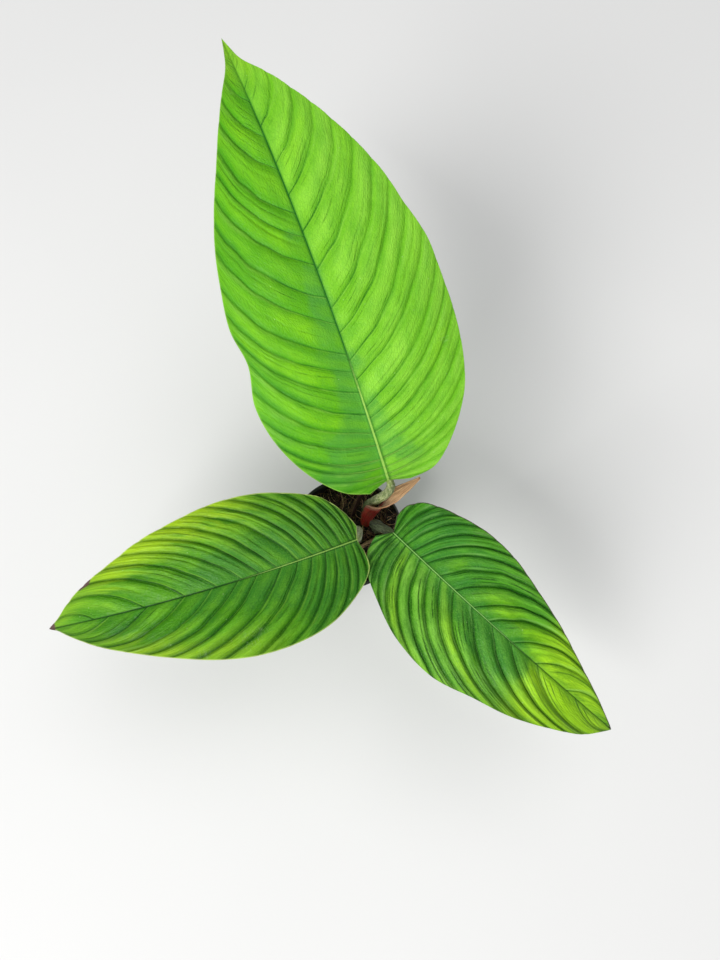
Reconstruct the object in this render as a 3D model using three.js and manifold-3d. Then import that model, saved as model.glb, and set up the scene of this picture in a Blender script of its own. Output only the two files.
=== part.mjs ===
// A young Philodendron rugapetiolatum in a round nursery pot: one short leaning stem, three quilted
// leaves on rough petioles, a fresh and a dried sheath at their foot, and one root over the bark.
// Millimetres, +Z up. The origin is the middle of the pot's foot, on the surface it stands on.
// The large leaf points towards +Y.

import * as THREE from "three";
import { mergeVertices } from "three/addons/utils/BufferGeometryUtils.js";
import Module from "manifold-3d";

const wasm = await Module();
wasm.setup();

// Driving dimensions

const CLEARANCE = 0.3;

const POT = {
  height: 72,
  footRadius: 27,
  rimRadius: 39,
  lipHeight: 11,
  lipStep: 1.2,
  wall: 1.4,
  floor: 2.4,
  footRounding: 1.5,
  sides: 44,
  drainHoles: 6,
  drainHoleRadius: 2.6,
  drainSides: 12,
  drainCircleRadius: 17,
};

const SOIL = {
  farHeight: 62,
  heapHeight: 73,
  heapCentre: [31, 15],
  heapReach: 64,
  edgeDrop: 2,
  roughness: 1,
  rings: 8,
  sectors: 26,
  chips: 46,
  chipLength: [6, 13],
  chipWidth: [3, 6.5],
  chipThickness: [2, 3.6],
  chipCorner: [0.6, 1],
  chipTilt: [-0.45, 0.45],
  chipRaise: [-0.6, 0.5],
  seed: 11,
};

// The stem leans from the oldest leaf, in front, to the newest, behind.
const STEM = {
  route: [[11, -6, 36], [11, -2, 50], [12, 4, 58], [12.8, 10.2, 65], [13, 13.4, 71]],
  radii: [6.6, 6.6, 6.2, 5, 2.8],
  sides: 12,
  steps: 12,
  nodeRings: 4,
  nodeSwell: 0.05,
};

// Each petiole starts inside the stem, which it is cut clear of, and ends just under its midrib.
const PETIOLES = {
  petiole_large: {
    route: [[13, 12.9, 69.4], [13.2, 14.6, 78], [14.5, 15.1, 90], [18.4, 14.6, 101], [22.2, 14.2, 112],
      [25.6, 13.6, 124], [27.4, 13.4, 138], [27.2, 13.8, 147], [24.2, 17.3, 151.8]],
    radii: [3.2, 3.2, 3.1, 3.1, 3, 2.9, 2.8, 2.5, 1.8],
  },
  petiole_left: {
    route: [[8.6, -4, 54], [7, -4.2, 70], [6.4, -4.6, 87], [7.2, -5.4, 102], [7.8, -8.8, 113.5],
      [7.4, -14.2, 121], [4.4, -18, 124.1]],
    radii: [3.8, 3.4, 3.2, 3.1, 2.9, 2.4, 1.8],
  },
  petiole_right: {
    route: [[14, 4, 58], [21.4, 1.6, 74], [21.4, 1.4, 88], [18.3, -1, 101], [22.6, -5.7, 112],
      [27, -9.4, 117.4], [31.7, -13.9, 119.5]],
    radii: [3.8, 3.2, 3.1, 3.1, 3, 2.4, 1.8],
  },
};
const PETIOLE_SIDES = 10;
const PETIOLE_STEPS = 20;
const PETIOLE_CHANNEL = 0.16;
const PETIOLE_WRINKLE = { depth: 0.07, long: 37, short: 91 };

// A blade's midrib leaves base in the direction heading (degrees in plan from +X), climbing by rise,
// and bends evenly by turn and droop on its way to the tip. A margin is a smooth line through points
// given as distance along the midrib and distance out from it, from the basal lobe to the tip.
// Veins run from the midrib towards the tip. sweep holds how much they gather at the base and how much
// they lean to the tip, and bow how far they bend, each for the left and the right half.
const BLADES = {
  blade_large: {
    base: [25.5, 13.7, 155],
    heading: 109.4,
    turn: 2.9,
    rise: 26,
    droop: -30,
    length: 295,
    left: [[-4, 13], [3, 29], [20, 45], [42, 56], [65, 60], [88, 56], [110, 59], [134, 56], [158, 51],
      [182, 43], [204, 34], [226, 25], [247, 16], [268, 6.5], [282, 2.6], [295, 0]],
    right: [[-3, 13], [0, 29], [15, 45], [36, 59], [58, 66], [82, 69], [106, 69], [128, 68], [150, 62],
      [171, 57], [193, 49], [213, 40], [234, 29], [253, 18], [272, 6], [284, 2.2], [295, 0]],
    veins: 20,
    sweep: { left: [1.9, 1], right: [2.1, 1] },
    bow: { left: 0.24, right: 0.2 },
    relief: 0.1,
    wave: 1.6,
    waves: 2.5,
  },
  blade_left: {
    base: [7.2, -16.8, 128],
    heading: 203.5,
    turn: -17.7,
    rise: 14,
    droop: -44,
    length: 209,
    left: [[-1, 8], [2, 21], [14, 32], [32, 42], [52, 46], [74, 46], [95, 42], [117, 35], [140, 27],
      [165, 18], [188, 8], [201, 2], [209, 0]],
    right: [[-3, 8], [1, 18], [12, 32], [30, 41], [52, 48], [78, 50], [101, 47], [130, 40], [153, 31],
      [170, 24], [187, 15], [200, 5], [209, 0]],
    veins: 15,
    sweep: { left: [1.7, 0.65], right: [1.8, 0.6] },
    bow: { left: 0.23, right: 0.23 },
    relief: 0.13,
    wave: 1.4,
    waves: 2,
  },
  blade_right: {
    base: [29.5, -11.6, 124],
    heading: -47.1,
    turn: 11.7,
    rise: 14,
    droop: -44,
    length: 183,
    left: [[-6, 9], [-5, 19], [3, 28], [20, 35], [42, 40], [66, 39], [90, 33], [114, 26], [136, 18],
      [158, 10], [173, 4], [183, 0]],
    right: [[-6, 9], [-2, 19], [8, 29], [24, 37], [46, 45], [73, 47], [98, 40], [120, 34], [144, 24],
      [163, 15], [174, 7], [183, 0]],
    veins: 15,
    sweep: { left: [1.9, 0.7], right: [1.9, 0.6] },
    bow: { left: 0.26, right: 0.26 },
    relief: 0.14,
    wave: 1.2,
    waves: 2,
  },
};
const BLADE_THICKNESS = 0.9;
const BLADE_COLUMNS = [0, 0.06, 0.2, 0.4, 0.6, 0.8, 1];
const RELIEF_BY_COLUMN = [0, 0.35, 0.85, 1, 1, 0.85, 0.4];
const FULL_BOW_SHARE = 0.2;
const KEEL_SLOPE = 0.2;
const KEEL_DROOP = 0.003;
const RIB_GROOVE = 0.5;
const RIB_DEPTH_AT_BASE = 1.6;
const RIB_DEPTH_AT_TIP = 0.3;
const MIDRIB_STEPS = 60;
const FULL_RELIEF_WIDTH = 14;

// A sheath is an open trough: its middle line, the ways it opens along it, half widths and depths.
const SHEATHS = {
  cataphyll_fresh: {
    route: [[13.6, 4.2, 70], [15.6, 6.4, 80], [19.4, 8.8, 91], [22.8, 10.4, 101], [27, 12.2, 109],
      [32.2, 14.8, 116.6], [39.6, 18.4, 124.6], [46.4, 21.6, 132]],
    facing: [[-0.2, 1, 0], [-0.25, 1, 0], [-0.3, 1, 0.1], [-0.5, 1, 0.3], [-0.8, 0.5, 0.7],
      [-0.5, 0, 1], [-0.4, -0.1, 1], [-0.4, -0.1, 1]],
    halfWidths: [3.4, 5, 7, 8.4, 7.2, 5, 2.8, 0.8],
    depths: [2.4, 4.2, 5.4, 5.2, 3.2, 1.6, 0.8, 0.3],
    thickness: 1,
  },
  cataphyll_old: {
    route: [[3, 9, 60], [3.6, 12.6, 72], [5.6, 15.6, 81], [8.4, 19, 90], [14.4, 22.4, 102], [22, 22.6, 116]],
    facing: [[0.8, -0.4, 0.2], [0.8, -0.4, 0.3], [0.7, -0.6, 0.5], [0.5, -0.8, 0.6], [0.2, -0.8, 0.6],
      [0, -0.8, 0.6]],
    halfWidths: [2.4, 2.6, 2.3, 2, 1.7, 0.6],
    depths: [0.9, 1, 0.8, 0.7, 0.6, 0.2],
    thickness: 0.8,
  },
};
const SHEATH_STEPS = 16;
const SHEATH_COLUMNS = 6;

const ROOT = {
  route: [[14, -4, 52], [22, -2, 60], [29, 1, 67.5], [29.5, 0, 71], [24, -3.4, 71.8], [15, -6.8, 71.2],
    [8.5, -10.6, 69.4], [2, -14, 60]],
  radii: [1.5, 1.4, 1.4, 1.3, 1.3, 1.2, 1.1, 0.8],
  sides: 8,
  steps: 20,
  knobDepth: 0.08,
  knobSpacing: 40,
};

// Small helpers

const rad = THREE.MathUtils.degToRad;
const lerp = THREE.MathUtils.lerp;

function randomSource(seed) {
  let state = seed;
  return (low = 0, high = 1) => {
    state = (state + 0x6d2b79f5) | 0;
    let t = Math.imul(state ^ (state >>> 15), 1 | state);
    t = (t + Math.imul(t ^ (t >>> 7), 61 | t)) ^ t;
    return low + (high - low) * (((t ^ (t >>> 14)) >>> 0) / 4294967296);
  };
}

function curveThrough(points) {
  return new THREE.CatmullRomCurve3(points.map((p) => new THREE.Vector3(...p)));
}

// The value at fraction s of a list whose entries are spread evenly.
function along(values, s) {
  const place = THREE.MathUtils.clamp(s, 0, 1) * (values.length - 1);
  const index = Math.min(Math.floor(place), values.length - 2);
  return lerp(values[index], values[index + 1], place - index);
}

// How far the first and last of the steps along a piece move outwards when it grows.
function endGrowth(step, steps, grow) {
  return (step === steps ? grow : 0) - (step === 0 ? grow : 0);
}

function meshGeometry(points, triangles) {
  const numbers = points.flatMap((p) => [p.x, p.y, p.z]);
  const geometry = new THREE.BufferGeometry();
  geometry.setAttribute("position", new THREE.Float32BufferAttribute(numbers, 3));
  geometry.setIndex(triangles.flat());
  return geometry;
}

function toManifold(geometry) {
  const bare = geometry.clone();
  bare.deleteAttribute("normal");
  bare.deleteAttribute("uv");
  const merged = mergeVertices(bare, 1e-4);
  return new wasm.Manifold(new wasm.Mesh({
    numProp: 3,
    vertProperties: new Float32Array(merged.attributes.position.array),
    triVerts: new Uint32Array(merged.index.array),
  }));
}

function fromManifold(solid) {
  const mesh = solid.getMesh();
  const geometry = new THREE.BufferGeometry();
  geometry.setAttribute("position", new THREE.Float32BufferAttribute(mesh.vertProperties, 3));
  geometry.setIndex(new THREE.Uint32BufferAttribute(mesh.triVerts, 1));
  return geometry;
}

// The biggest of the bodies that a cut leaves; loose scraps are dropped.
function largestBody(solid) {
  return solid.decompose().reduce((best, body) => (body.volume() > best.volume() ? body : best));
}

// A closed skin over rings with equal numbers of points, capped at both ends.
function loft(rings) {
  const sides = rings[0].length;
  const points = rings.flat();
  const triangles = [];
  for (let i = 0; i < rings.length - 1; i++) {
    for (let k = 0; k < sides; k++) {
      const a = i * sides + k;
      const b = i * sides + ((k + 1) % sides);
      triangles.push([a, b, b + sides], [a, b + sides, a + sides]);
    }
  }
  const middle = (ring) => ring.reduce((sum, p) => sum.add(p), new THREE.Vector3()).divideScalar(sides);
  const start = points.push(middle(rings[0])) - 1;
  const end = points.push(middle(rings[rings.length - 1])) - 1;
  const last = (rings.length - 1) * sides;
  for (let k = 0; k < sides; k++) {
    const next = (k + 1) % sides;
    triangles.push([start, next, k], [end, last + k, last + next]);
  }
  return meshGeometry(points, triangles);
}

// A tube whose radius follows radii. shape(s, angle) swells or dents it; grow makes it bigger all round.
function taperedTube({ route, radii }, steps, sides, shape, grow) {
  const curve = curveThrough(route);
  const frames = curve.computeFrenetFrames(steps, false);
  const rings = [];
  for (let i = 0; i <= steps; i++) {
    const s = i / steps;
    const centre = curve.getPointAt(s).addScaledVector(curve.getTangentAt(s), endGrowth(i, steps, grow));
    const radius = along(radii, curve.getUtoTmapping(s));
    const ring = [];
    for (let k = 0; k < sides; k++) {
      const angle = (2 * Math.PI * k) / sides;
      const reach = radius * shape(s, angle) + grow;
      ring.push(centre.clone()
        .addScaledVector(frames.normals[i], Math.cos(angle) * reach)
        .addScaledVector(frames.binormals[i], Math.sin(angle) * reach));
    }
    rings.push(ring);
  }
  return loft(rings);
}

// Gives an open sheet its thickness: half on each side of it, and extraBelow more on its lower face.
function thicken(points, triangles, thickness, extraBelow = () => 0) {
  const sheet = meshGeometry(points, triangles);
  sheet.computeVertexNormals();
  const normals = sheet.attributes.normal;
  const normal = points.map((_, i) => new THREE.Vector3().fromBufferAttribute(normals, i));
  const count = points.length;
  const upper = points.map((p, i) => p.clone().addScaledVector(normal[i], thickness / 2));
  const lower = points.map((p, i) => p.clone().addScaledVector(normal[i], -thickness / 2 - extraBelow(i)));
  const faces = [];
  const edges = new Map();
  for (const [a, b, c] of triangles) {
    faces.push([a, b, c], [a + count, c + count, b + count]);
    for (const [from, to] of [[a, b], [b, c], [c, a]]) {
      if (!edges.delete(`${to} ${from}`)) {
        edges.set(`${from} ${to}`, [from, to]);
      }
    }
  }
  for (const [from, to] of edges.values()) {
    faces.push([from, from + count, to + count], [from, to + count, to]);
  }
  return meshGeometry([...upper, ...lower], faces);
}

// The pot

function potOuterRadius(z) {
  return lerp(POT.footRadius, POT.rimRadius - POT.lipStep, z / POT.height);
}

function potInnerRadius(z) {
  return potOuterRadius(z) - POT.wall;
}

function makePot() {
  const lipBottom = POT.height - POT.lipHeight;
  const profile = [
    [0, 0],
    [POT.footRadius - POT.footRounding, 0],
    [POT.footRadius, POT.footRounding],
    [potOuterRadius(lipBottom), lipBottom],
    [potOuterRadius(lipBottom) + POT.lipStep, lipBottom + POT.lipStep],
    [POT.rimRadius - POT.wall / 4, POT.height - POT.wall / 4],
    [POT.rimRadius - POT.wall / 2, POT.height],
    [potInnerRadius(POT.height) + POT.wall / 2, POT.height],
    [potInnerRadius(POT.height), POT.height - POT.wall / 2],
    [potInnerRadius(POT.floor), POT.floor],
    [0, POT.floor],
  ].map(([x, y]) => new THREE.Vector2(x, y));
  let pot = toManifold(new THREE.LatheGeometry(profile, POT.sides).rotateX(Math.PI / 2));
  for (let i = 0; i < POT.drainHoles; i++) {
    const angle = (2 * Math.PI * i) / POT.drainHoles;
    const x = POT.drainCircleRadius * Math.cos(angle);
    const y = POT.drainCircleRadius * Math.sin(angle);
    const radius = POT.drainHoleRadius;
    const hole = new THREE.CylinderGeometry(radius, radius, 4 * POT.floor, POT.drainSides);
    hole.rotateX(Math.PI / 2);
    hole.translate(x, y, POT.floor / 2);
    pot = pot.subtract(toManifold(hole));
  }
  return fromManifold(pot);
}

// The stem, petioles and root

function stemShape(s) {
  return 1 + STEM.nodeSwell * Math.max(0, Math.cos(2 * Math.PI * STEM.nodeRings * s)) ** 3;
}

function makeStem(grow = 0) {
  return taperedTube(STEM, STEM.steps, STEM.sides, stemShape, grow);
}

// A shallow channel along one side, and the cross wrinkles that the species is named for.
function petioleShape(s, angle) {
  const channel = PETIOLE_CHANNEL * Math.max(0, Math.cos(angle)) ** 4;
  const { depth, long, short } = PETIOLE_WRINKLE;
  return 1 - channel + depth * Math.sin(long * s + 2 * angle) * Math.sin(short * s - angle);
}

function makePetiole(petiole, grow = 0) {
  return taperedTube(petiole, PETIOLE_STEPS, PETIOLE_SIDES, petioleShape, grow);
}

function makeRoot(grow = 0) {
  const knobs = (s) => 1 + ROOT.knobDepth * Math.sin(ROOT.knobSpacing * s);
  return taperedTube(ROOT, ROOT.steps, ROOT.sides, knobs, grow);
}

// The sheaths

function makeSheath(sheath, grow = 0) {
  const curve = curveThrough(sheath.route);
  const axes = [0, 1, 2];
  const points = [];
  const triangles = [];
  for (let i = 0; i <= SHEATH_STEPS; i++) {
    const s = i / SHEATH_STEPS;
    const t = curve.getUtoTmapping(s);
    const forward = curve.getTangentAt(s);
    const middle = curve.getPointAt(s).addScaledVector(forward, endGrowth(i, SHEATH_STEPS, grow));
    const inward = new THREE.Vector3(...axes.map((axis) => along(sheath.facing.map((way) => way[axis]), t)));
    inward.addScaledVector(forward, -inward.dot(forward)).normalize();
    const sideways = new THREE.Vector3().crossVectors(forward, inward);
    for (let k = 0; k <= SHEATH_COLUMNS; k++) {
      const across = (2 * k) / SHEATH_COLUMNS - 1;
      points.push(middle.clone()
        .addScaledVector(sideways, across * (along(sheath.halfWidths, t) + grow))
        .addScaledVector(inward, across * across * (along(sheath.depths, t) + grow)));
    }
  }
  const row = SHEATH_COLUMNS + 1;
  for (let i = 0; i < SHEATH_STEPS; i++) {
    for (let k = 0; k < SHEATH_COLUMNS; k++) {
      const a = i * row + k;
      triangles.push([a, a + 1, a + row + 1], [a, a + row + 1, a + row]);
    }
  }
  return thicken(points, triangles, sheath.thickness + 2 * grow);
}

// The blades

// Points and directions of the midrib at even steps from the base to the tip.
function midribOf(blade) {
  const step = blade.length / MIDRIB_STEPS;
  const points = [new THREE.Vector3(...blade.base)];
  const directions = [];
  for (let i = 0; i <= MIDRIB_STEPS; i++) {
    const done = i / MIDRIB_STEPS;
    const heading = rad(blade.heading + blade.turn * done);
    const climb = rad(blade.rise + blade.droop * done);
    directions.push(new THREE.Vector3(
      Math.cos(heading) * Math.cos(climb), Math.sin(heading) * Math.cos(climb), Math.sin(climb)));
    if (i > 0) {
      const mean = directions[i].clone().add(directions[i - 1]).normalize();
      points.push(points[i - 1].clone().addScaledVector(mean, step));
    }
  }
  return { points, directions, step };
}

// The place in space of a point of the flattened leaf: out is positive left of the midrib.
// The halves rise from the midrib as a keel and bend down towards the margin.
function placeOnLeaf(blade, midrib, distance, out, lift) {
  const place = THREE.MathUtils.clamp(distance / midrib.step, 0, MIDRIB_STEPS - 1e-6);
  const index = Math.floor(place);
  const between = (list) => list[index].clone().lerp(list[index + 1], place - index);
  const forward = between(midrib.directions).normalize();
  const point = between(midrib.points);
  point.addScaledVector(forward, distance - place * midrib.step);
  const left = new THREE.Vector3(0, 0, 1).cross(forward).normalize();
  const normal = new THREE.Vector3().crossVectors(forward, left);
  const width = Math.abs(out);
  const height = KEEL_SLOPE * width - KEEL_DROOP * width * width + lift;
  return point.addScaledVector(left, out).addScaledVector(normal, height);
}

// The share of the midrib at which the vein leaves it that ends at share u of a margin.
function veinStart([gather, lean], u) {
  return 1 - (1 - u ** gather) ** lean;
}

// The share of a margin at which the vein ends that leaves the midrib at share start.
function veinEnd([gather, lean], start) {
  return (1 - (1 - start) ** (1 / lean)) ** (1 / gather);
}

// The flattened vein line that ends at share u of a margin, from the midrib (t = 0) to the margin (t = 1).
function veinPoint(blade, half, margin, u, t) {
  const share = THREE.MathUtils.clamp(u, 0, 1);
  const start = new THREE.Vector2(blade.length * veinStart(blade.sweep[half], share), 0);
  const end = margin.getPointAt(share);
  const chord = end.clone().sub(start);
  const bow = blade.bow[half] * Math.min(1, share / FULL_BOW_SHARE);
  const bend = start.clone().lerp(end, 0.5).add(new THREE.Vector2(-chord.y, chord.x).multiplyScalar(bow));
  return new THREE.QuadraticBezierCurve(start, bend, end).getPoint(t);
}

function makeBlade(blade) {
  const midrib = midribOf(blade);
  const rows = 2 * blade.veins;
  const columns = BLADE_COLUMNS.length - 1;
  const points = [];
  const triangles = [];
  const ribDepth = [];
  const starts = Array.from({ length: rows + 1 }, (_, i) => veinStart(blade.sweep.left, i / rows));
  for (let i = 0; i <= rows; i++) {
    points.push(placeOnLeaf(blade, midrib, blade.length * starts[i], 0, -RIB_GROOVE * (1 - i / rows)));
    ribDepth.push(lerp(RIB_DEPTH_AT_BASE, RIB_DEPTH_AT_TIP, Math.sqrt(i / rows)));
  }
  for (const side of [1, -1]) {
    const half = side > 0 ? "left" : "right";
    const margin = new THREE.SplineCurve(blade[half].map((p) => new THREE.Vector2(...p)));
    const ends = starts.map((start) => veinEnd(blade.sweep[half], start));
    const first = points.length;
    const index = (i, j) => (j === 0 || i === rows ? Math.min(i, rows) : first + i * columns + j - 1);
    for (let i = 0; i < rows; i++) {
      const u = ends[i];
      const crest = (i % 2 === 0) === side > 0 ? -0.5 : 0.5;
      const fullness = Math.min(1, margin.getPointAt(u).y / FULL_RELIEF_WIDTH) ** 2;
      for (let j = 1; j <= columns; j++) {
        const t = lerp(j / columns, BLADE_COLUMNS[j], fullness);
        const flat = veinPoint(blade, half, margin, u, t);
        const before = veinPoint(blade, half, margin, ends[Math.max(i - 1, 0)], t);
        const after = veinPoint(blade, half, margin, ends[i + 1], t);
        const spacing = before.distanceTo(after);
        const quilting = crest * blade.relief * spacing * RELIEF_BY_COLUMN[j];
        const waving = blade.wave * t ** 3 * Math.sin(2 * Math.PI * (blade.waves * u + side / 8)) * (1 - u);
        points.push(placeOnLeaf(blade, midrib, flat.x, side * flat.y, fullness * (quilting + waving)));
      }
    }
    for (let i = 0; i < rows; i++) {
      for (let j = 0; j < columns; j++) {
        const [a, b, c, d] = [index(i, j), index(i + 1, j), index(i + 1, j + 1), index(i, j + 1)];
        const shorter = points[a].distanceTo(points[c]) < points[b].distanceTo(points[d]);
        for (const face of shorter ? [[a, b, c], [a, c, d]] : [[a, b, d], [b, c, d]]) {
          if (new Set(face).size === 3) {
            triangles.push(side > 0 ? face : [face[0], face[2], face[1]]);
          }
        }
      }
    }
  }
  return thicken(points, triangles, BLADE_THICKNESS, (i) => ribDepth[i] ?? 0);
}

// The bark mix that fills the pot

// The mix is heaped up round the stem and lowest at the far side of the pot.
function soilHeight(x, y) {
  const away = Math.hypot(x - SOIL.heapCentre[0], y - SOIL.heapCentre[1]) / SOIL.heapReach;
  return lerp(SOIL.heapHeight, SOIL.farHeight, Math.min(1, away));
}

function makeSoilBody(random) {
  const bottom = POT.floor + CLEARANCE;
  const topEdge = potInnerRadius(POT.height) - CLEARANCE;
  const shoulder = SOIL.farHeight - SOIL.edgeDrop;
  const ring = (radius, heightAt) => Array.from({ length: SOIL.sectors }, (_, k) => {
    const angle = (2 * Math.PI * k) / SOIL.sectors;
    const x = radius * Math.cos(angle);
    const y = radius * Math.sin(angle);
    return new THREE.Vector3(x, y, heightAt(x, y));
  });
  const rings = [
    ring(potInnerRadius(bottom) - CLEARANCE, () => bottom),
    ring(potInnerRadius(shoulder) - CLEARANCE, () => shoulder),
  ];
  for (let i = SOIL.rings; i > 0; i--) {
    const rough = (x, y) => soilHeight(x, y) + random(-1, 1) * SOIL.roughness;
    rings.push(ring(topEdge * (i / SOIL.rings), rough));
  }
  return toManifold(loft(rings));
}

// A split piece of bark: a box with every corner pulled in by a different amount.
function makeChip(random) {
  const size = [SOIL.chipLength, SOIL.chipWidth, SOIL.chipThickness].map((range) => random(...range));
  const chip = mergeVertices(barePositions(new THREE.BoxGeometry(...size)));
  const corners = chip.attributes.position;
  for (let i = 0; i < corners.count; i++) {
    const corner = [corners.getX(i), corners.getY(i), corners.getZ(i)];
    corners.setXYZ(i, ...corner.map((v) => v * random(...SOIL.chipCorner)));
  }
  const radius = (POT.rimRadius - SOIL.chipWidth[0]) * Math.sqrt(random());
  const angle = random(0, 2 * Math.PI);
  const x = radius * Math.cos(angle);
  const y = radius * Math.sin(angle);
  const turn = new THREE.Euler(random(...SOIL.chipTilt), random(...SOIL.chipTilt), random(0, Math.PI));
  chip.applyMatrix4(new THREE.Matrix4().makeRotationFromEuler(turn));
  chip.translate(x, y, soilHeight(x, y) + random(...SOIL.chipRaise));
  return chip;
}

function barePositions(geometry) {
  geometry.deleteAttribute("normal");
  geometry.deleteAttribute("uv");
  return geometry;
}

// The space of the pot's wall, and of everything beside it up to the rim.
function makeWallSpace() {
  const far = 2 * POT.rimRadius;
  const top = POT.height + CLEARANCE;
  const profile = [
    [potInnerRadius(0) - CLEARANCE, 0],
    [far, 0],
    [far, top],
    [potInnerRadius(POT.height) - CLEARANCE, top],
  ].map(([x, y]) => new THREE.Vector2(x, y));
  profile.push(profile[0].clone());
  return new THREE.LatheGeometry(profile, POT.sides).rotateX(Math.PI / 2);
}

function makeSoil() {
  const random = randomSource(SOIL.seed);
  let soil = makeSoilBody(random);
  for (let i = 0; i < SOIL.chips; i++) {
    soil = soil.add(toManifold(makeChip(random)));
  }
  const standing = [
    makeWallSpace(),
    makeStem(CLEARANCE),
    makeRoot(CLEARANCE),
    ...Object.values(SHEATHS).map((sheath) => makeSheath(sheath, CLEARANCE)),
    ...Object.values(PETIOLES).map((petiole) => makePetiole(petiole, CLEARANCE)),
  ];
  for (const geometry of standing) {
    soil = soil.subtract(toManifold(geometry));
  }
  return fromManifold(largestBody(soil));
}

function cutAround(geometry, neighbour) {
  return fromManifold(largestBody(toManifold(geometry).subtract(toManifold(neighbour))));
}

// The plant in its pot

const FINISH = {
  pot: { color: 0x151515, roughness: 0.45 },
  soil: { color: 0x3a281c, roughness: 0.95 },
  stem: { color: 0x5d6b34, roughness: 0.7 },
  petiole: { color: 0x93a37c, roughness: 0.75 },
  youngLeaf: { color: 0x4fae1c, roughness: 0.4 },
  leaf: { color: 0x3c861f, roughness: 0.4 },
  freshSheath: { color: 0xa8623f, roughness: 0.6 },
  driedSheath: { color: 0x6a4433, roughness: 0.85 },
  root: { color: 0x9b7a55, roughness: 0.85 },
};

const plant = new THREE.Group();

function addPiece(name, geometry, finish) {
  const mesh = new THREE.Mesh(geometry, new THREE.MeshStandardMaterial({ ...FINISH[finish], metalness: 0 }));
  mesh.name = name;
  plant.add(mesh);
}

addPiece("pot", makePot(), "pot");
addPiece("soil", makeSoil(), "soil");
addPiece("stem", makeStem(), "stem");
addPiece("root", cutAround(makeRoot(), makeStem(CLEARANCE)), "root");
for (const [name, petiole] of Object.entries(PETIOLES)) {
  addPiece(name, cutAround(makePetiole(petiole), makeStem(CLEARANCE)), "petiole");
}
for (const [name, blade] of Object.entries(BLADES)) {
  addPiece(name, makeBlade(blade), name === "blade_large" ? "youngLeaf" : "leaf");
}
addPiece("cataphyll_fresh", makeSheath(SHEATHS.cataphyll_fresh), "freshSheath");
addPiece("cataphyll_old", makeSheath(SHEATHS.cataphyll_old), "driedSheath");

export default plant;
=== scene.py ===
"""Looks for a young Philodendron rugapetiolatum in a round nursery pot.

Lengths in this script are in millimetres until a mesh is made. The pot's foot is at the origin.
"""
import math
from random import Random

import bmesh
import bpy
import numpy as np
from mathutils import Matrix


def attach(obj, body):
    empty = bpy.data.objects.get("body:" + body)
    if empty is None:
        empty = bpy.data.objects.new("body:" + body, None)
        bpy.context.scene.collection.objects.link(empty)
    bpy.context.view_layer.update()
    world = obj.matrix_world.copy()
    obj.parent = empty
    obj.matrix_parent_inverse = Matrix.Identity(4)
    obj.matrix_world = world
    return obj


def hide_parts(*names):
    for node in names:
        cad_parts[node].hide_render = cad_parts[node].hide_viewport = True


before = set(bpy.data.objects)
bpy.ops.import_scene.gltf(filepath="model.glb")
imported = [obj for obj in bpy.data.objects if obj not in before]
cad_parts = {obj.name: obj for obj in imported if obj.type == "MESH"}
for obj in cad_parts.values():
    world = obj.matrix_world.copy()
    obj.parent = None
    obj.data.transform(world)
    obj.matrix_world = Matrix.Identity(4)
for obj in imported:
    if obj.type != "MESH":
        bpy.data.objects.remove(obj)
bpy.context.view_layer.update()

MM = 0.001

# Sizes, as in the solids but for the upper ends of the petioles and the relief of the blades

POT = {
    "height": 72, "foot_radius": 27, "rim_radius": 39, "lip_height": 11, "lip_step": 1.2,
    "wall": 1.4, "floor": 2.4, "drain_holes": 6, "drain_radius": 2.6, "drain_circle": 17,
}
MIX = {
    "far_height": 62, "heap_height": 73, "heap_centre": (31, 15), "heap_reach": 64, "wall_gap": 0.25,
    "body_gap": 0.3, "sink": 1.4,
}
STEM = {
    "route": [[11, -6, 36], [11, -2, 50], [12, 4, 58], [12.8, 10.2, 65], [13, 13.4, 71]],
    "radii": [6.6, 6.6, 6.2, 5, 2.8],
}
PETIOLES = {
    "petiole_large": {
        "route": [[13, 12.9, 69.4], [13.2, 14.6, 78], [14.5, 15.1, 90], [18.4, 14.6, 101],
                  [22.2, 14.2, 112], [25.6, 13.6, 124], [27.4, 13.4, 138], [27.2, 13.8, 147.5],
                  [24.7, 16.8, 155.4]],
        "radii": [3.2, 3.2, 3.1, 3.1, 3, 2.9, 2.8, 2.5, 1.9],
    },
    "petiole_left": {
        "route": [[8.6, -4, 54], [7, -4.2, 70], [6.4, -4.6, 87], [7.2, -5.4, 102],
                  [7.8, -8.8, 113.5], [7.4, -14.2, 121.6], [4.4, -18, 127.4]],
        "radii": [3.8, 3.4, 3.2, 3.1, 2.9, 2.5, 2],
    },
    "petiole_right": {
        "route": [[14, 4, 58], [21.4, 1.6, 74], [21.4, 1.4, 88], [18.3, -1, 101], [22.6, -5.7, 112],
                  [27.5, -9.9, 118.8], [31.5, -13.9, 123.5]],
        "radii": [3.8, 3.2, 3.1, 3.1, 3, 2.7, 2],
    },
}
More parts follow.
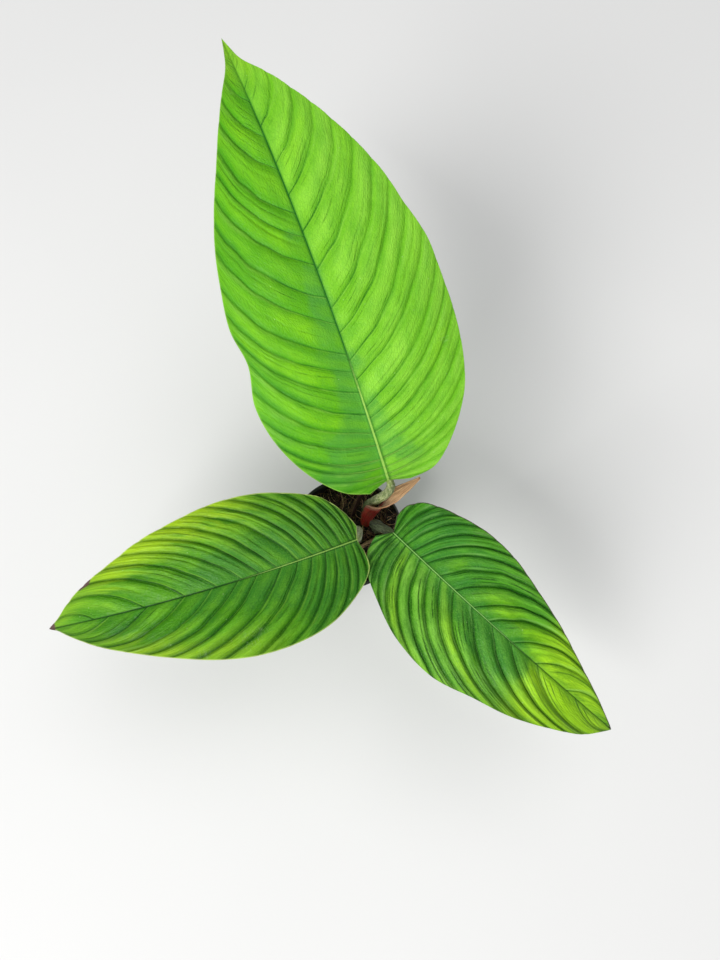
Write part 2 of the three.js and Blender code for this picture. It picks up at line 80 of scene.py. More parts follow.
BLADES = {
    "blade_large": {
        "base": (25.5, 13.7, 155), "heading": 109.4, "turn": 2.9, "rise": 26, "droop": -30,
        "length": 295, "veins": 20, "relief": 0.155, "wave": 1.6, "waves": 2.5,
        "sweep": {1: (1.9, 1.0), -1: (2.1, 1.0)}, "bow": {1: 0.24, -1: 0.2},
        "left": [[-4, 13], [3, 29], [20, 45], [42, 56], [65, 60], [88, 56], [110, 59], [134, 56],
                 [158, 51], [182, 43], [204, 34], [226, 25], [247, 16], [268, 6.5], [282, 2.6],
                 [295, 0]],
        "right": [[-3, 13], [0, 29], [15, 45], [36, 59], [58, 66], [82, 69], [106, 69], [128, 68],
                  [150, 62], [171, 57], [193, 49], [213, 40], [234, 29], [253, 18], [272, 6],
                  [284, 2.2], [295, 0]],
    },
    "blade_left": {
        "base": (7.2, -16.8, 128), "heading": 203.5, "turn": -17.7, "rise": 14, "droop": -44,
        "length": 209, "veins": 15, "relief": 0.29, "wave": 1.4, "waves": 2,
        "sweep": {1: (1.7, 0.65), -1: (1.8, 0.6)}, "bow": {1: 0.23, -1: 0.23},
        "left": [[-1, 8], [2, 21], [14, 32], [32, 42], [52, 46], [74, 46], [95, 42], [117, 35],
                 [140, 27], [165, 18], [188, 8], [201, 2], [209, 0]],
        "right": [[-3, 8], [1, 18], [12, 32], [30, 41], [52, 48], [78, 50], [101, 47], [130, 40],
                  [153, 31], [170, 24], [187, 15], [200, 5], [209, 0]],
    },
    "blade_right": {
        "base": (29.5, -11.6, 124), "heading": -47.1, "turn": 11.7, "rise": 14, "droop": -44,
        "length": 183, "veins": 15, "relief": 0.3, "wave": 1.2, "waves": 2,
        "sweep": {1: (1.9, 0.7), -1: (1.9, 0.6)}, "bow": {1: 0.26, -1: 0.26},
        "left": [[-6, 9], [-5, 19], [3, 28], [20, 35], [42, 40], [66, 39], [90, 33], [114, 26],
                 [136, 18], [158, 10], [173, 4], [183, 0]],
        "right": [[-6, 9], [-2, 19], [8, 29], [24, 37], [46, 45], [73, 47], [98, 40], [120, 34],
                  [144, 24], [163, 15], [174, 7], [183, 0]],
    },
}
SHEATHS = {
    "cataphyll_fresh": {
        "route": [[13.6, 4.2, 70], [15.6, 6.4, 80], [19.4, 8.8, 91], [22.8, 10.4, 101],
                  [27, 12.2, 109], [32.2, 14.8, 116.6], [39.6, 18.4, 124.6], [46.4, 21.6, 132]],
        "facing": [[-0.2, 1, 0], [-0.25, 1, 0], [-0.3, 1, 0.1], [-0.5, 1, 0.3], [-0.8, 0.5, 0.7],
                   [-0.5, 0, 1], [-0.4, -0.1, 1], [-0.4, -0.1, 1]],
        "half_widths": [3.4, 5, 7, 8.4, 7.2, 5, 2.8, 0.8],
        "depths": [2.4, 4.2, 5.4, 5.2, 3.2, 1.6, 0.8, 0.3],
        "thickness": 1,
    },
    "cataphyll_old": {
        "route": [[3, 9, 60], [3.6, 12.6, 72], [5.6, 15.6, 81], [8.4, 19, 90], [14.4, 22.4, 102],
                  [22, 22.6, 116]],
        "facing": [[0.8, -0.4, 0.2], [0.8, -0.4, 0.3], [0.7, -0.6, 0.5], [0.5, -0.8, 0.6],
                   [0.2, -0.8, 0.6], [0, -0.8, 0.6]],
        "half_widths": [2.4, 2.6, 2.3, 2, 1.7, 0.6],
        "depths": [0.9, 1, 0.8, 0.7, 0.6, 0.2],
        "thickness": 0.8,
    },
}
ROOT = {
    "route": [[14, -4, 52], [22, -2, 60], [29, 1, 67.5], [29.5, 0, 71], [24, -3.4, 71.8],
              [15, -6.8, 71.2], [8.5, -10.6, 69.4], [2, -14, 60]],
    "radii": [1.5, 1.4, 1.4, 1.3, 1.3, 1.2, 1.1, 0.8],
}

RELIEF_PLACES = [0, 0.06, 0.2, 0.4, 0.6, 0.8, 1]
RELIEF_AMOUNTS = [0, 0.35, 0.85, 1, 1, 0.85, 0.4]
FULL_BOW_SHARE = 0.2
FULL_RELIEF_WIDTH = 14
KEEL_SLOPE = 0.2
KEEL_DROOP = 0.003
MIDRIB_STEPS = 60
PETIOLE_CHANNEL = 0.16

# Sizes of the fine surfaces

WELD_METRES = 2e-6
ROUTE_STEPS = 1200
MARGIN_STEPS = 200
ROWS_PER_VEIN = 20
BLADE_THICKNESS = 0.6
RIB_BELOW = (1.6, 0.3)
RIB_RIDGE, RIB_GROOVE = (0.9, 1.5), (0.35, 0.9)
VEIN_DRIFT, VEIN_WANDER = 0.2, 0.05
CREASE_DEPTH, CREASE_WIDTH = 0.22, 0.55
PUCKER_HEIGHT, PUCKER_SIZE = 0.28, 9
EDGE_INSET, EDGE_ROUNDING = 0.006, 0.5
END_ROUNDING = 0.4
SHEATH_ROWS, SHEATH_COLUMNS = 150, 44
POT_SIDES = 144
MIX_RINGS, MIX_SIDES = 54, 120
TONE_SEED = 5


# Lines and numbers

def unit(vectors):
    return vectors / np.linalg.norm(vectors, axis=-1, keepdims=True)


def ease(values, low, high):
    """0 at low and 1 at high, with a soft start and end."""
    t = np.clip((np.asarray(values, float) - low) / (high - low), 0, 1)
    return t * t * (3 - 2 * t)


def value_noise(places, seed):
    """Smooth noise from -1 to 1 over any number of axes, with its grid one unit apart."""
    places = np.asarray(places, float)
    cell = np.floor(places).astype(np.int64)
    part = places - cell
    part = part * part * (3 - 2 * part)
    axes = places.shape[-1]
    total = np.zeros(places.shape[:-1])
    for corner in range(2 ** axes):
        share = np.ones(places.shape[:-1])
        mixed = np.full(places.shape[:-1], seed * 7919 + 17, np.int64)
        for axis in range(axes):
            step = (corner >> axis) & 1
            share = share * (part[..., axis] if step else 1 - part[..., axis])
            mixed = (mixed * 1103515245 + (cell[..., axis] + step) * 374761393 + 12345) % 2147483647
        mixed = (mixed * 48271 + 11) % 2147483647
        mixed = (mixed ^ (mixed >> 13)) * 69069 % 2147483647
        total += share * (mixed / 1073741823.5 - 1)
    return total


def centripetal(points, steps):
    """Points of a smooth curve through the given ones, at even values of its parameter."""
    pts = np.array(points, float)
    pts = np.vstack([2 * pts[0] - pts[1], pts, 2 * pts[-1] - pts[-2]])
    place = np.linspace(0, len(points) - 1, steps)
    index = np.minimum(place.astype(int), len(points) - 2)
    w = (place - index)[:, None]
    p0, p1, p2, p3 = (pts[index + k] for k in range(4))
    gaps = [np.maximum(np.linalg.norm(b - a, axis=1) ** 0.5, 1e-4)[:, None]
            for a, b in ((p0, p1), (p1, p2), (p2, p3))]
    d0, d1, d2 = gaps
    m1 = ((p1 - p0) / d0 - (p2 - p0) / (d0 + d1) + (p2 - p1) / d1) * d1
    m2 = ((p2 - p1) / d1 - (p3 - p1) / (d1 + d2) + (p3 - p2) / d2) * d1
    return (p1 + m1 * w + (3 * (p2 - p1) - 2 * m1 - m2) * w ** 2
            + (2 * (p1 - p2) + m1 + m2) * w ** 3)


class Route:
    """A smooth route, read by share of its length: place, direction and how far along the given points."""

    def __init__(self, points):
        self.count = len(points)
        self.line = centripetal(points, ROUTE_STEPS + 1)
        gone = np.linalg.norm(np.diff(self.line, axis=0), axis=1)
        self.lengths = np.concatenate([[0], np.cumsum(gone)])
        self.length = self.lengths[-1]

    def knot_share(self, share):
        """The share of the given points passed at each share of the length."""
        return np.interp(np.asarray(share) * self.length, self.lengths, np.linspace(0, 1, len(self.line)))

    def place(self, share):
        t = self.knot_share(share) * (len(self.line) - 1)
        return np.stack([np.interp(t, np.arange(len(self.line)), self.line[:, k]) for k in range(3)], -1)

    def direction(self, share):
        share = np.asarray(share)
        step = 0.002
        return unit(self.place(np.minimum(share + step, 1)) - self.place(np.maximum(share - step, 0)))

    def along(self, values, share):
        """Values given one to a point, read at each share of the length."""
        values = np.array(values, float)
        knots = np.linspace(0, 1, len(values))
        t = self.knot_share(share)
        if values.ndim == 1:
            return np.interp(t, knots, values)
        return np.stack([np.interp(t, knots, values[:, k]) for k in range(values.shape[1])], -1)


def carried_frames(directions):
    """A side and an upward way square to each direction, turned as little as possible on the way."""
    first = np.zeros(3)
    size = np.abs(directions[0])
    first[len(size) - 1 - int(np.argmin(size[::-1]))] = 1
    side = unit(np.cross(directions[0], unit(np.cross(directions[0], first))))
    sides = [side]
    for before, now in zip(directions[:-1], directions[1:]):
        side = unit(side - now * np.dot(side, now))
        sides.append(side)
    sides = np.array(sides)
    return sides, np.cross(directions, sides)


# Meshes

def make_piece(name, points, faces, maps=None, marks=None, weld=True):
    """A mesh object from millimetre points. maps are UV maps and marks are numbers, both one to a point."""
    mesh = bpy.data.meshes.new(name)
    points = np.asarray(points, float)
    mesh.from_pydata((points * MM).tolist(), [], faces)
    corners = np.empty(len(mesh.loops), np.int32)
    mesh.loops.foreach_get("vertex_index", corners)
    for label, values in (maps or {}).items():
        layer = mesh.uv_layers.new(name=label)
        layer.data.foreach_set("uv", np.asarray(values, np.float32)[corners].ravel())
    for label, values in (marks or {}).items():
        layer = mesh.attributes.new(label, "FLOAT", "POINT")
        layer.data.foreach_set("value", np.asarray(values, np.float32).ravel())
    if weld:
        shell = bmesh.new()
        shell.from_mesh(mesh)
        bmesh.ops.remove_doubles(shell, verts=shell.verts, dist=WELD_METRES)
        bmesh.ops.recalc_face_normals(shell, faces=shell.faces)
        shell.to_mesh(mesh)
        shell.free()
    mesh.polygons.foreach_set("use_smooth", [True] * len(mesh.polygons))
    mesh.update()
    return add_object(name, mesh)


def grid_faces(rows, columns, first=0, closed=False):
    """Quads over a grid of points, row by row; closed joins the last column to the first."""
    faces = []
    wide = columns if closed else columns - 1
    for i in range(rows - 1):
        a = first + i * columns
        for k in range(wide):
            b = (k + 1) % columns
            faces.append((a + k, a + b, a + columns + b, a + columns + k))
    return faces


def ring_points(radius, z, sides):
    """A level ring of points round the pot's axis."""
    angle = np.linspace(0, 2 * np.pi, sides, endpoint=False)
    return [(radius * math.cos(a), radius * math.sin(a), z) for a in angle]


def close_ends(points, faces, sides, first_pole, last_pole):
    """Adds a pole beyond each end of a closed grid of rings, with a fan of faces to it."""
    start, end = len(points), len(points) + 1
    points += [first_pole, last_pole]
    last = start - sides
    for k in range(sides):
        after = (k + 1) % sides
        faces += [(start, after, k), (end, last + k, last + after)]


def add_object(name, data):
    thing = bpy.data.objects.new(name, data)
    bpy.context.scene.collection.objects.link(thing)
    return thing


def settle(piece, node, material):
    """Gives a finished piece its material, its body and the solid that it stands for."""
    if material is not None:
        piece.data.materials.clear()
        piece.data.materials.append(material)
    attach(piece, "root")
    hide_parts(node)


# The blades

class Blade:
    """The surface of one leaf, from its midrib, margins and veins."""

    def __init__(self, sizes):
        self.sizes = sizes
        self.length = sizes["length"]
        self.step = self.length / MIDRIB_STEPS
        done = np.linspace(0, 1, MIDRIB_STEPS + 1)
        heading = np.radians(sizes["heading"] + sizes["turn"] * done)
        climb = np.radians(sizes["rise"] + sizes["droop"] * done)
        self.directions = np.stack([np.cos(heading) * np.cos(climb), np.sin(heading) * np.cos(climb),
                                    np.sin(climb)], -1)
        between = unit(self.directions[1:] + self.directions[:-1])
        start = np.array([sizes["base"]], float)
        self.stations = np.vstack([start, start + np.cumsum(between * self.step, axis=0)])

    def place(self, distance, out, lift):
        """Points in space for places on the flattened leaf, and the way up at each."""
        distance, out, lift = np.broadcast_arrays(distance, out, lift)
        place = np.clip(distance / self.step, 0, MIDRIB_STEPS - 1e-6)
        index = place.astype(int)
        part = (place - index)[..., None]
        forward = unit(self.directions[index] * (1 - part) + self.directions[index + 1] * part)
        point = self.stations[index] * (1 - part) + self.stations[index + 1] * part
        point = point + forward * (distance - place * self.step)[..., None]
        left = unit(np.cross(np.array([0.0, 0, 1]), forward))
        up = np.cross(forward, left)
        width = np.abs(out)
        height = KEEL_SLOPE * width - KEEL_DROOP * width ** 2 + lift
        return point + left * out[..., None] + up * height[..., None], up

    def margin(self, side, share):
        """Points of a margin at shares of its length, as distance along and distance out."""
        points = np.array(self.sizes["left" if side > 0 else "right"], float)
        last = len(points) - 1
        fine = np.linspace(0, 1, MARGIN_STEPS + 1) * last
        index = np.minimum(fine.astype(int), last - 1)
        w = (fine - index)[:, None]
        p0, p1 = points[np.maximum(index - 1, 0)], points[index]
        p2, p3 = points[index + 1], points[np.minimum(index + 2, last)]
        m1, m2 = (p2 - p0) / 2, (p3 - p1) / 2
        line = (2 * p1 - 2 * p2 + m1 + m2) * w ** 3 + (-3 * p1 + 3 * p2 - 2 * m1 - m2) * w ** 2 + m1 * w + p1
        gone = np.concatenate([[0], np.cumsum(np.linalg.norm(np.diff(line, axis=0), axis=1))])
        want = np.clip(share, 0, 1) * gone[-1]
        return np.stack([np.interp(want, gone, line[:, k]) for k in range(2)], -1)

    def margin_share(self, side, start):
        """The share of a margin's length that the vein reaches which starts at a share of the midrib."""
        gather, sweep = self.sizes["sweep"][side]
        return (1 - (1 - start) ** (1 / sweep)) ** (1 / gather)

    def vein(self, side, share, t):
        """Points of the veins that end at each margin share, from the midrib, t 0, to the margin, t 1."""
        share = np.clip(share, 0, 1)
        gather, sweep = self.sizes["sweep"][side]
        start = np.stack([self.length * (1 - (1 - share ** gather) ** sweep), np.zeros_like(share)], -1)
        end = self.margin(side, share)
        chord = end - start
        bow = (self.sizes["bow"][side] * np.minimum(1, share / FULL_BOW_SHARE))[..., None]
        bend = (start + end) / 2 + bow * np.stack([-chord[..., 1], chord[..., 0]], -1)
        t = t[..., None]
        return (1 - t) ** 2 * start + 2 * t * (1 - t) * bend + t ** 2 * end

    def from_edge(self, flat):
        """How far each place on the flattened leaf is from the leaf's edge, both margins and the base."""
        share = np.linspace(0, 1, 500)
        line = []
        for side in (1, -1):
            margin = self.margin(side, share)
            line.append(np.vstack([margin, np.linspace([0, 0], margin[0], 20)]) * [1, side])
        line = np.vstack(line)
        places = flat.reshape(-1, 2)
        near = np.concatenate([np.sqrt(((part[:, None] - line) ** 2).sum(-1).min(1))
                               for part in np.array_split(places, 12)])
        return near.reshape(flat.shape[:-1])


def quilt(x, seed):
    """The rise between veins, 0 to 1, over the vein count x, with the weaker veins between the main ones."""
    part = x - np.floor(x)
    number = np.floor(x)[..., None]
    rise = np.sin(np.pi * part) ** 0.6
    places = 0.5 + 0.14 * value_noise(number * 1.37 + 0.5, seed + 1)
    depth = 0.14 + 0.22 * value_noise(number * 2.11 + 0.5, seed + 2)
    rise = rise - np.maximum(depth, 0) * np.exp(-((part - places) / 0.07) ** 2)
    strength = 1 + 0.3 * value_noise(x[..., None] * 0.83, seed)
    return 0.5 + (rise - 0.5) * strength


def patches(spots, side, count, t, flat):
    """Long patches that each keep between two veins: (along, out, reach, amount)."""
    total = np.zeros(t.shape)
    for along, out, reach, amount in spots:
        if out * side <= 0:
            continue
        away = np.hypot(flat[..., 0] - along, flat[..., 1] - abs(out))
        i, k = np.unravel_index(np.argmin(away), away.shape)
        middle = np.floor(count[i, k]) + 0.5
        reach_t = reach / max(np.linalg.norm(flat[i, -1] - flat[i, 0]), 1)
        total += amount * np.exp(-((count - middle) / 0.42) ** 2 - ((t - t[i, k]) / reach_t) ** 2)
    return np.clip(total, 0, 1)


def spots_on(spots, side, flat):
    """Round spots: (along, out, reach, amount)."""
    total = np.zeros(flat.shape[:-1])
    for along, out, reach, amount in spots:
        away = np.hypot(flat[..., 0] - along, flat[..., 1] * side - out)
        total += amount * np.exp(-(away / reach) ** 2)
    return np.clip(total, 0, 1)


def build_blade(name, sizes, look):
    """The fine blade, with the marks that its material reads."""
    blade = Blade(sizes)
    seed, rib_share = look["seed"], look["rib_share"]
    rows = sizes["veins"] * ROWS_PER_VEIN
    gather = (sizes["sweep"][1][0] + sizes["sweep"][-1][0]) / 2
    sweep = (sizes["sweep"][1][1] + sizes["sweep"][-1][1]) / 2
    start = 1 - (1 - np.linspace(0, 1, rows + 1) ** gather) ** sweep
    graded = np.concatenate([[0, 0.006, 0.013, 0.021, 0.031, 0.044, 0.06, 0.08, 0.105, 0.135],
                             np.linspace(0.17, 0.95, 27), [0.968, 0.98, 0.989, 0.995, 0.9985, 1]])
    columns = len(graded)
    even = np.linspace(0, 1, columns)
    points, faces, size = [], [], (rows + 1) * columns
    maps = {"veins": [], "flat": []}
    marks = {label: [] for label in ("spacing", "edge", "warm", "cool", "dry", "scuff", "under")}
    count = 0
    for side in (1, -1):
        share = blade.margin_share(side, start)
        fullness = np.minimum(1, blade.margin(side, share)[:, 1] / FULL_RELIEF_WIDTH) ** 2
        t = even * (1 - fullness[:, None]) + graded * fullness[:, None]
        u = np.repeat(share[:, None], columns, 1)
        flat = blade.vein(side, u, t)
        across = (blade.vein(side, u + 0.004, t) - blade.vein(side, u - 0.004, t)) / 0.008
        along_vein = unit(blade.vein(side, u, t + 0.01) - blade.vein(side, u, t - 0.01) + 1e-9)
        spacing = np.abs(across[..., 0] * along_vein[..., 1] - across[..., 1] * along_vein[..., 0])
        spacing = spacing / sizes["veins"]
        veins = u * sizes["veins"] + (0 if side > 0 else 0.5)
        drift = value_noise(np.stack([veins * 0.45, t * 1.2 + 9 * side], -1), seed + 5)
        drift = drift + value_noise(np.stack([veins * 1.03 + 40, t * 0.5 + 9 * side], -1), seed + 6)
        wander = value_noise(np.stack([veins * 1.4 + 9, t * 8 + 9 * side], -1), seed + 7)
        calm = np.minimum(1, 3 * u) * np.clip(5 * (0.97 - u), 0, 1)
        veins = veins + (VEIN_DRIFT * drift + VEIN_WANDER * wander) * calm
        relief = np.interp(t, RELIEF_PLACES, RELIEF_AMOUNTS)
        lift = sizes["relief"] * spacing * (quilt(veins, seed + side) - 0.5) * relief
        off_vein = np.abs(veins - np.round(veins)) * spacing
        lift -= CREASE_DEPTH * np.exp(-(off_vein / CREASE_WIDTH) ** 2) * relief
        lift += sizes["wave"] * t ** 3 * np.sin(2 * np.pi * (sizes["waves"] * u + side / 8)) * (1 - u)
        along, out = flat[..., 0], flat[..., 1]
        pucker = value_noise(np.stack([along / PUCKER_SIZE, side * out / PUCKER_SIZE + 31], -1), seed + 9)
        lift += PUCKER_HEIGHT * pucker * np.minimum(1, out / 10)
        lift *= fullness[:, None]
        standing = ease(along, rib_share * blade.length, 0.1 * rib_share * blade.length)
        ridge, groove = (high * np.exp(-(out / wide) ** 2) for high, wide in (RIB_RIDGE, RIB_GROOVE))
        lift += standing * ridge - (1 - standing) * groove
        middle, up = blade.place(along, side * out * (1 - EDGE_INSET * t), lift)
        edge = blade.from_edge(flat * [1, side])
        edge[:, -1] = 0
        round_off = np.sqrt(np.clip(1 - (1 - np.minimum(edge / EDGE_ROUNDING, 1)) ** 2, 0, 1))
        thick = BLADE_THICKNESS * (0.12 + 0.88 * round_off)
        rib = RIB_BELOW[0] + (RIB_BELOW[1] - RIB_BELOW[0]) * np.sqrt(along.clip(0) / blade.length)
        rib = rib * np.exp(-(out / 1.6) ** 2) * np.minimum(1, 0.3 + edge / 2)
        rib = rib + 0.3 * np.exp(-(off_vein / 0.7) ** 2) * (1 - t) * np.minimum(1, edge / 3)
        values = {"spacing": spacing, "edge": edge, "warm": patches(look["warm"], side, veins, t, flat)}
        for label in ("cool", "dry", "scuff"):
            values[label] = spots_on(look[label], side, flat)
        for under, away in enumerate((thick / 2, -thick / 2 - rib)):
            points.append((middle + up * away[..., None]).reshape(-1, 3))
            maps["flat"].append(np.stack([along, side * out], -1).reshape(-1, 2))
            maps["veins"].append(np.stack([veins, side * t], -1).reshape(-1, 2))
            values["under"] = np.full(t.shape, under)
            for label in marks:
                marks[label].append(values[label].ravel())
        top, bottom = grid_faces(rows + 1, columns, count), grid_faces(rows + 1, columns, count + size)
        faces += top + [face[::-1] for face in bottom]
        rim = [count + i * columns + columns - 1 for i in range(rows + 1)]
        base = [count + k for k in range(columns)]
        for line in (rim, base):
            for a, b in zip(line[:-1], line[1:]):
                faces.append((a, b, b + size, a + size))
        count += 2 * size
    maps = {label: np.vstack(each) for label, each in maps.items()}
    marks = {label: np.concatenate(each) for label, each in marks.items()}
    return make_piece(name, np.vstack(points), faces, maps, marks)


# The petioles, stem and root

def build_tube(name, route, reach, rings, sides):
    """A closed tube: reach(share, angle) gives its radius. Its map runs round it and along it."""
    path = Route(route)
    share = np.linspace(0, 1, rings)
    angle = np.linspace(0, 2 * np.pi, sides, endpoint=False)
    directions = path.direction(share)
    side, up = carried_frames(directions)
    radius = reach(path, share[:, None], angle[None, :])
    ring = side[:, None, :] * np.cos(angle)[None, :, None] + up[:, None, :] * np.sin(angle)[None, :, None]
    points = list((path.place(share)[:, None, :] + ring * radius[..., None]).reshape(-1, 3))
    faces = [face[::-1] for face in grid_faces(rings, sides, closed=True)]
    start, end = path.place([0.0, 1.0])
    close_ends(points, faces, sides, start - directions[0] * radius[0].mean() * END_ROUNDING,
               end + directions[-1] * radius[-1].mean() * END_ROUNDING)
    around = np.append(np.tile(angle / (2 * np.pi), rings), [0, 0])
    along = np.append(np.repeat(share * path.length, sides), [0, path.length])
    marks = {"around": around, "along": along, "share": along / path.length}
    return make_piece(name, points, faces, marks=marks)


def petiole_reach(radii, seed):
    """The rough skin of a petiole: a channel, long wrinkles, and short cross folds."""
    def reach(path, share, angle):
        radius = path.along(radii, share[:, 0])[:, None]
        channel = PETIOLE_CHANNEL * np.maximum(0, np.cos(angle)) ** 4
        wrinkle = 0.05 * np.sin(37 * share + 2 * angle) * np.sin(91 * share - angle)
        mm = share * path.length
        turn = np.stack(np.broadcast_arrays(3 * np.cos(angle), 3 * np.sin(angle), mm / 2.4), -1)
        folds = value_noise(turn, seed)
        fine = value_noise(turn * np.array([1.6, 1.6, 2.7]) + 40, seed + 1)
        streaks = value_noise(turn * np.array([3.2, 3.2, 0.35]) + 80, seed + 2)
        return radius * (1 - channel + wrinkle + 0.035 * folds + 0.02 * fine + 0.03 * streaks)
    return reach


def stem_reach(path, share, angle):
    radius = path.along(STEM["radii"], share[:, 0])[:, None]
    rings = 0.06 * np.exp(-(((share * 4) % 1 - 0.5) / 0.08) ** 2)
    turn = np.stack(np.broadcast_arrays(2.5 * np.cos(angle), 2.5 * np.sin(angle), share * 22), -1)
    return radius * (1 + rings + 0.03 * value_noise(turn, 3))


def root_reach(path, share, angle):
    radius = path.along(ROOT["radii"], share[:, 0])[:, None]
    turn = np.stack(np.broadcast_arrays(1.5 * np.cos(angle), 1.5 * np.sin(angle), share * 34), -1)
    return radius * (1 + 0.08 * np.sin(40 * share) + 0.1 * value_noise(turn, 8))


# The sheaths

def build_sheath(name, sizes, ribs, seed, edge_wave):
    """A thin trough with lengthwise ribs. Its map runs across it, -1 to 1, and along it in millimetres."""
    path = Route(sizes["route"])
    rows, columns = SHEATH_ROWS, SHEATH_COLUMNS
    share = np.linspace(0, 1, rows)
    across = np.sin(np.linspace(-np.pi / 2, np.pi / 2, columns))
    forward = path.direction(share)
    inward = path.along(sizes["facing"], share)
    inward = unit(inward - forward * np.sum(inward * forward, -1, keepdims=True))
    sideways = np.cross(forward, inward)
    half = path.along(sizes["half_widths"], share)[:, None]
    depth = path.along(sizes["depths"], share)[:, None]
    ragged = value_noise(np.stack([share * 26, share * 0], -1), seed)
    half = half * (1 + 0.05 * ragged[:, None])
    rise = depth * across[None, :] ** 2
    rise = rise + 0.1 * np.cos(across[None, :] * ribs * np.pi) * np.minimum(1, half / 3)
    rise = rise + edge_wave * np.abs(across[None, :]) ** 4 * value_noise(
        np.stack(np.broadcast_arrays(share[:, None] * 14, np.sign(across)[None, :] * 5), -1), seed + 1)
    middle = path.place(share)[:, None, :] + sideways[:, None, :] * (half * across)[..., None]
    middle = middle + inward[:, None, :] * rise[..., None]
    slope = unit(np.cross(np.gradient(middle, axis=0), np.gradient(middle, axis=1)))
    edge = np.minimum(1, (1 - np.abs(across[None, :])) * half / 0.5)
    ends = np.minimum(1, np.minimum(share, 1 - share)[:, None] * path.length / 0.8)
    thick = 0.75 * sizes["thickness"] * (0.25 + 0.75 * np.sqrt(edge * ends))
    upper = middle - slope * (thick / 2)[..., None]
    lower = middle + slope * (thick / 2)[..., None]
    size = rows * columns
    points = np.vstack([upper.reshape(-1, 3), lower.reshape(-1, 3)])
    across_all = np.tile(np.broadcast_to(across, (rows, columns)).ravel(), 2)
    along_all = np.tile(np.broadcast_to(share[:, None] * path.length, (rows, columns)).ravel(), 2)
    faces = grid_faces(rows, columns)
    faces += [face[::-1] for face in grid_faces(rows, columns, size)]
    border = list(range(columns))
    border += [i * columns + columns - 1 for i in range(1, rows)]
    border += [(rows - 1) * columns + k for k in range(columns - 2, -1, -1)]
    border += [i * columns for i in range(rows - 2, 0, -1)]
    for a, b in zip(border, border[1:] + border[:1]):
        faces.append((a, a + size, b + size, b))
    marks = {"across": across_all, "along": along_all, "share": along_all / path.length}
    return make_piece(name, points, faces, marks=marks)


# The pot

def pot_radius(z):
    return POT["foot_radius"] + (POT["rim_radius"] - POT["lip_step"] - POT["foot_radius"]) * z / POT["height"]


def build_pot():
    """A moulded pot: a rounded foot, a tapered wall, a stepped band with a rolled lip, and drain holes."""
    wall, top, floor = POT["wall"], POT["height"], POT["floor"]
    band = top - POT["lip_height"]
    step = POT["lip_step"]
    profile = [(0, 0.9), (21, 0.9), (22.2, 0), (25.6, 0)]
    profile += [(25.6 + 1.5 * math.sin(a), 1.5 - 1.5 * math.cos(a)) for a in np.linspace(0.3, 1.45, 5)]
    profile += [(pot_radius(z), z) for z in np.linspace(4, band - 0.6, 16)]
    profile += [(pot_radius(band) + 0.25, band - 0.1), (pot_radius(band) + step * 0.9, band + 0.5),
                (pot_radius(band) + step, band + 1.2)]
    profile += [(pot_radius(z) + step, z) for z in np.linspace(band + 2.4, top - 1.8, 6)]
    outer, inner = pot_radius(top) + step, pot_radius(top) - wall
    profile += [(outer - 0.1, top - 0.9), (outer - 0.35, top - 0.3), (outer - 0.8, top - 0.02)]
    profile += [(inner + 0.8, top - 0.02), (inner + 0.3, top - 0.3), (inner + 0.02, top - 1)]
    profile += [(pot_radius(z) - wall, z) for z in np.linspace(top - 2, floor + 1.5, 12)]
    profile += [(pot_radius(floor) - wall - 1.2, floor), (0, floor)]
    points = []
    for radius, z in profile[1:-1]:
        points += ring_points(radius, z, POT_SIDES)
    faces = grid_faces(len(profile) - 2, POT_SIDES, closed=True)
    close_ends(points, faces, POT_SIDES, (0, 0, profile[0][1]), (0, 0, profile[-1][1]))
    pot = make_piece("nursery_pot", points, faces)
    cutters = bmesh.new()
    for k in range(POT["drain_holes"]):
        turn = 2 * math.pi * k / POT["drain_holes"]
        made = bmesh.ops.create_cone(cutters, cap_ends=True, segments=32, radius1=POT["drain_radius"] * MM,
                                     radius2=POT["drain_radius"] * MM, depth=3 * floor * MM)
        middle = np.array([math.cos(turn), math.sin(turn), 0]) * POT["drain_circle"] + [0, 0, floor / 2]
        bmesh.ops.translate(cutters, verts=made["verts"], vec=middle * MM)
    cutter_mesh = bpy.data.meshes.new("drain_cutters")
    cutters.to_mesh(cutter_mesh)
    cutters.free()
    cutter = add_object("drain_cutters", cutter_mesh)
    cut = pot.modifiers.new("drain", "BOOLEAN")
    cut.operation, cut.solver, cut.object = "DIFFERENCE", "EXACT", cutter
    finished = made_plain(pot)
    bpy.data.objects.remove(cutter)
    return finished


def made_plain(piece):
    """Turns what a piece's modifiers make into its own mesh, and takes them off."""
    bpy.context.view_layer.update()
    seen = piece.evaluated_get(bpy.context.evaluated_depsgraph_get())
    mesh = bpy.data.meshes.new_from_object(seen, preserve_all_data_layers=True,
                                           depsgraph=bpy.context.evaluated_depsgraph_get())
    piece.modifiers.clear()
    piece.data = mesh
    return piece


# The bark mix

def mix_height(x, y):
    away = np.hypot(x - MIX["heap_centre"][0], y - MIX["heap_centre"][1]) / MIX["heap_reach"]
    return MIX["heap_height"] + (MIX["far_height"] - MIX["heap_height"]) * np.minimum(1, away)


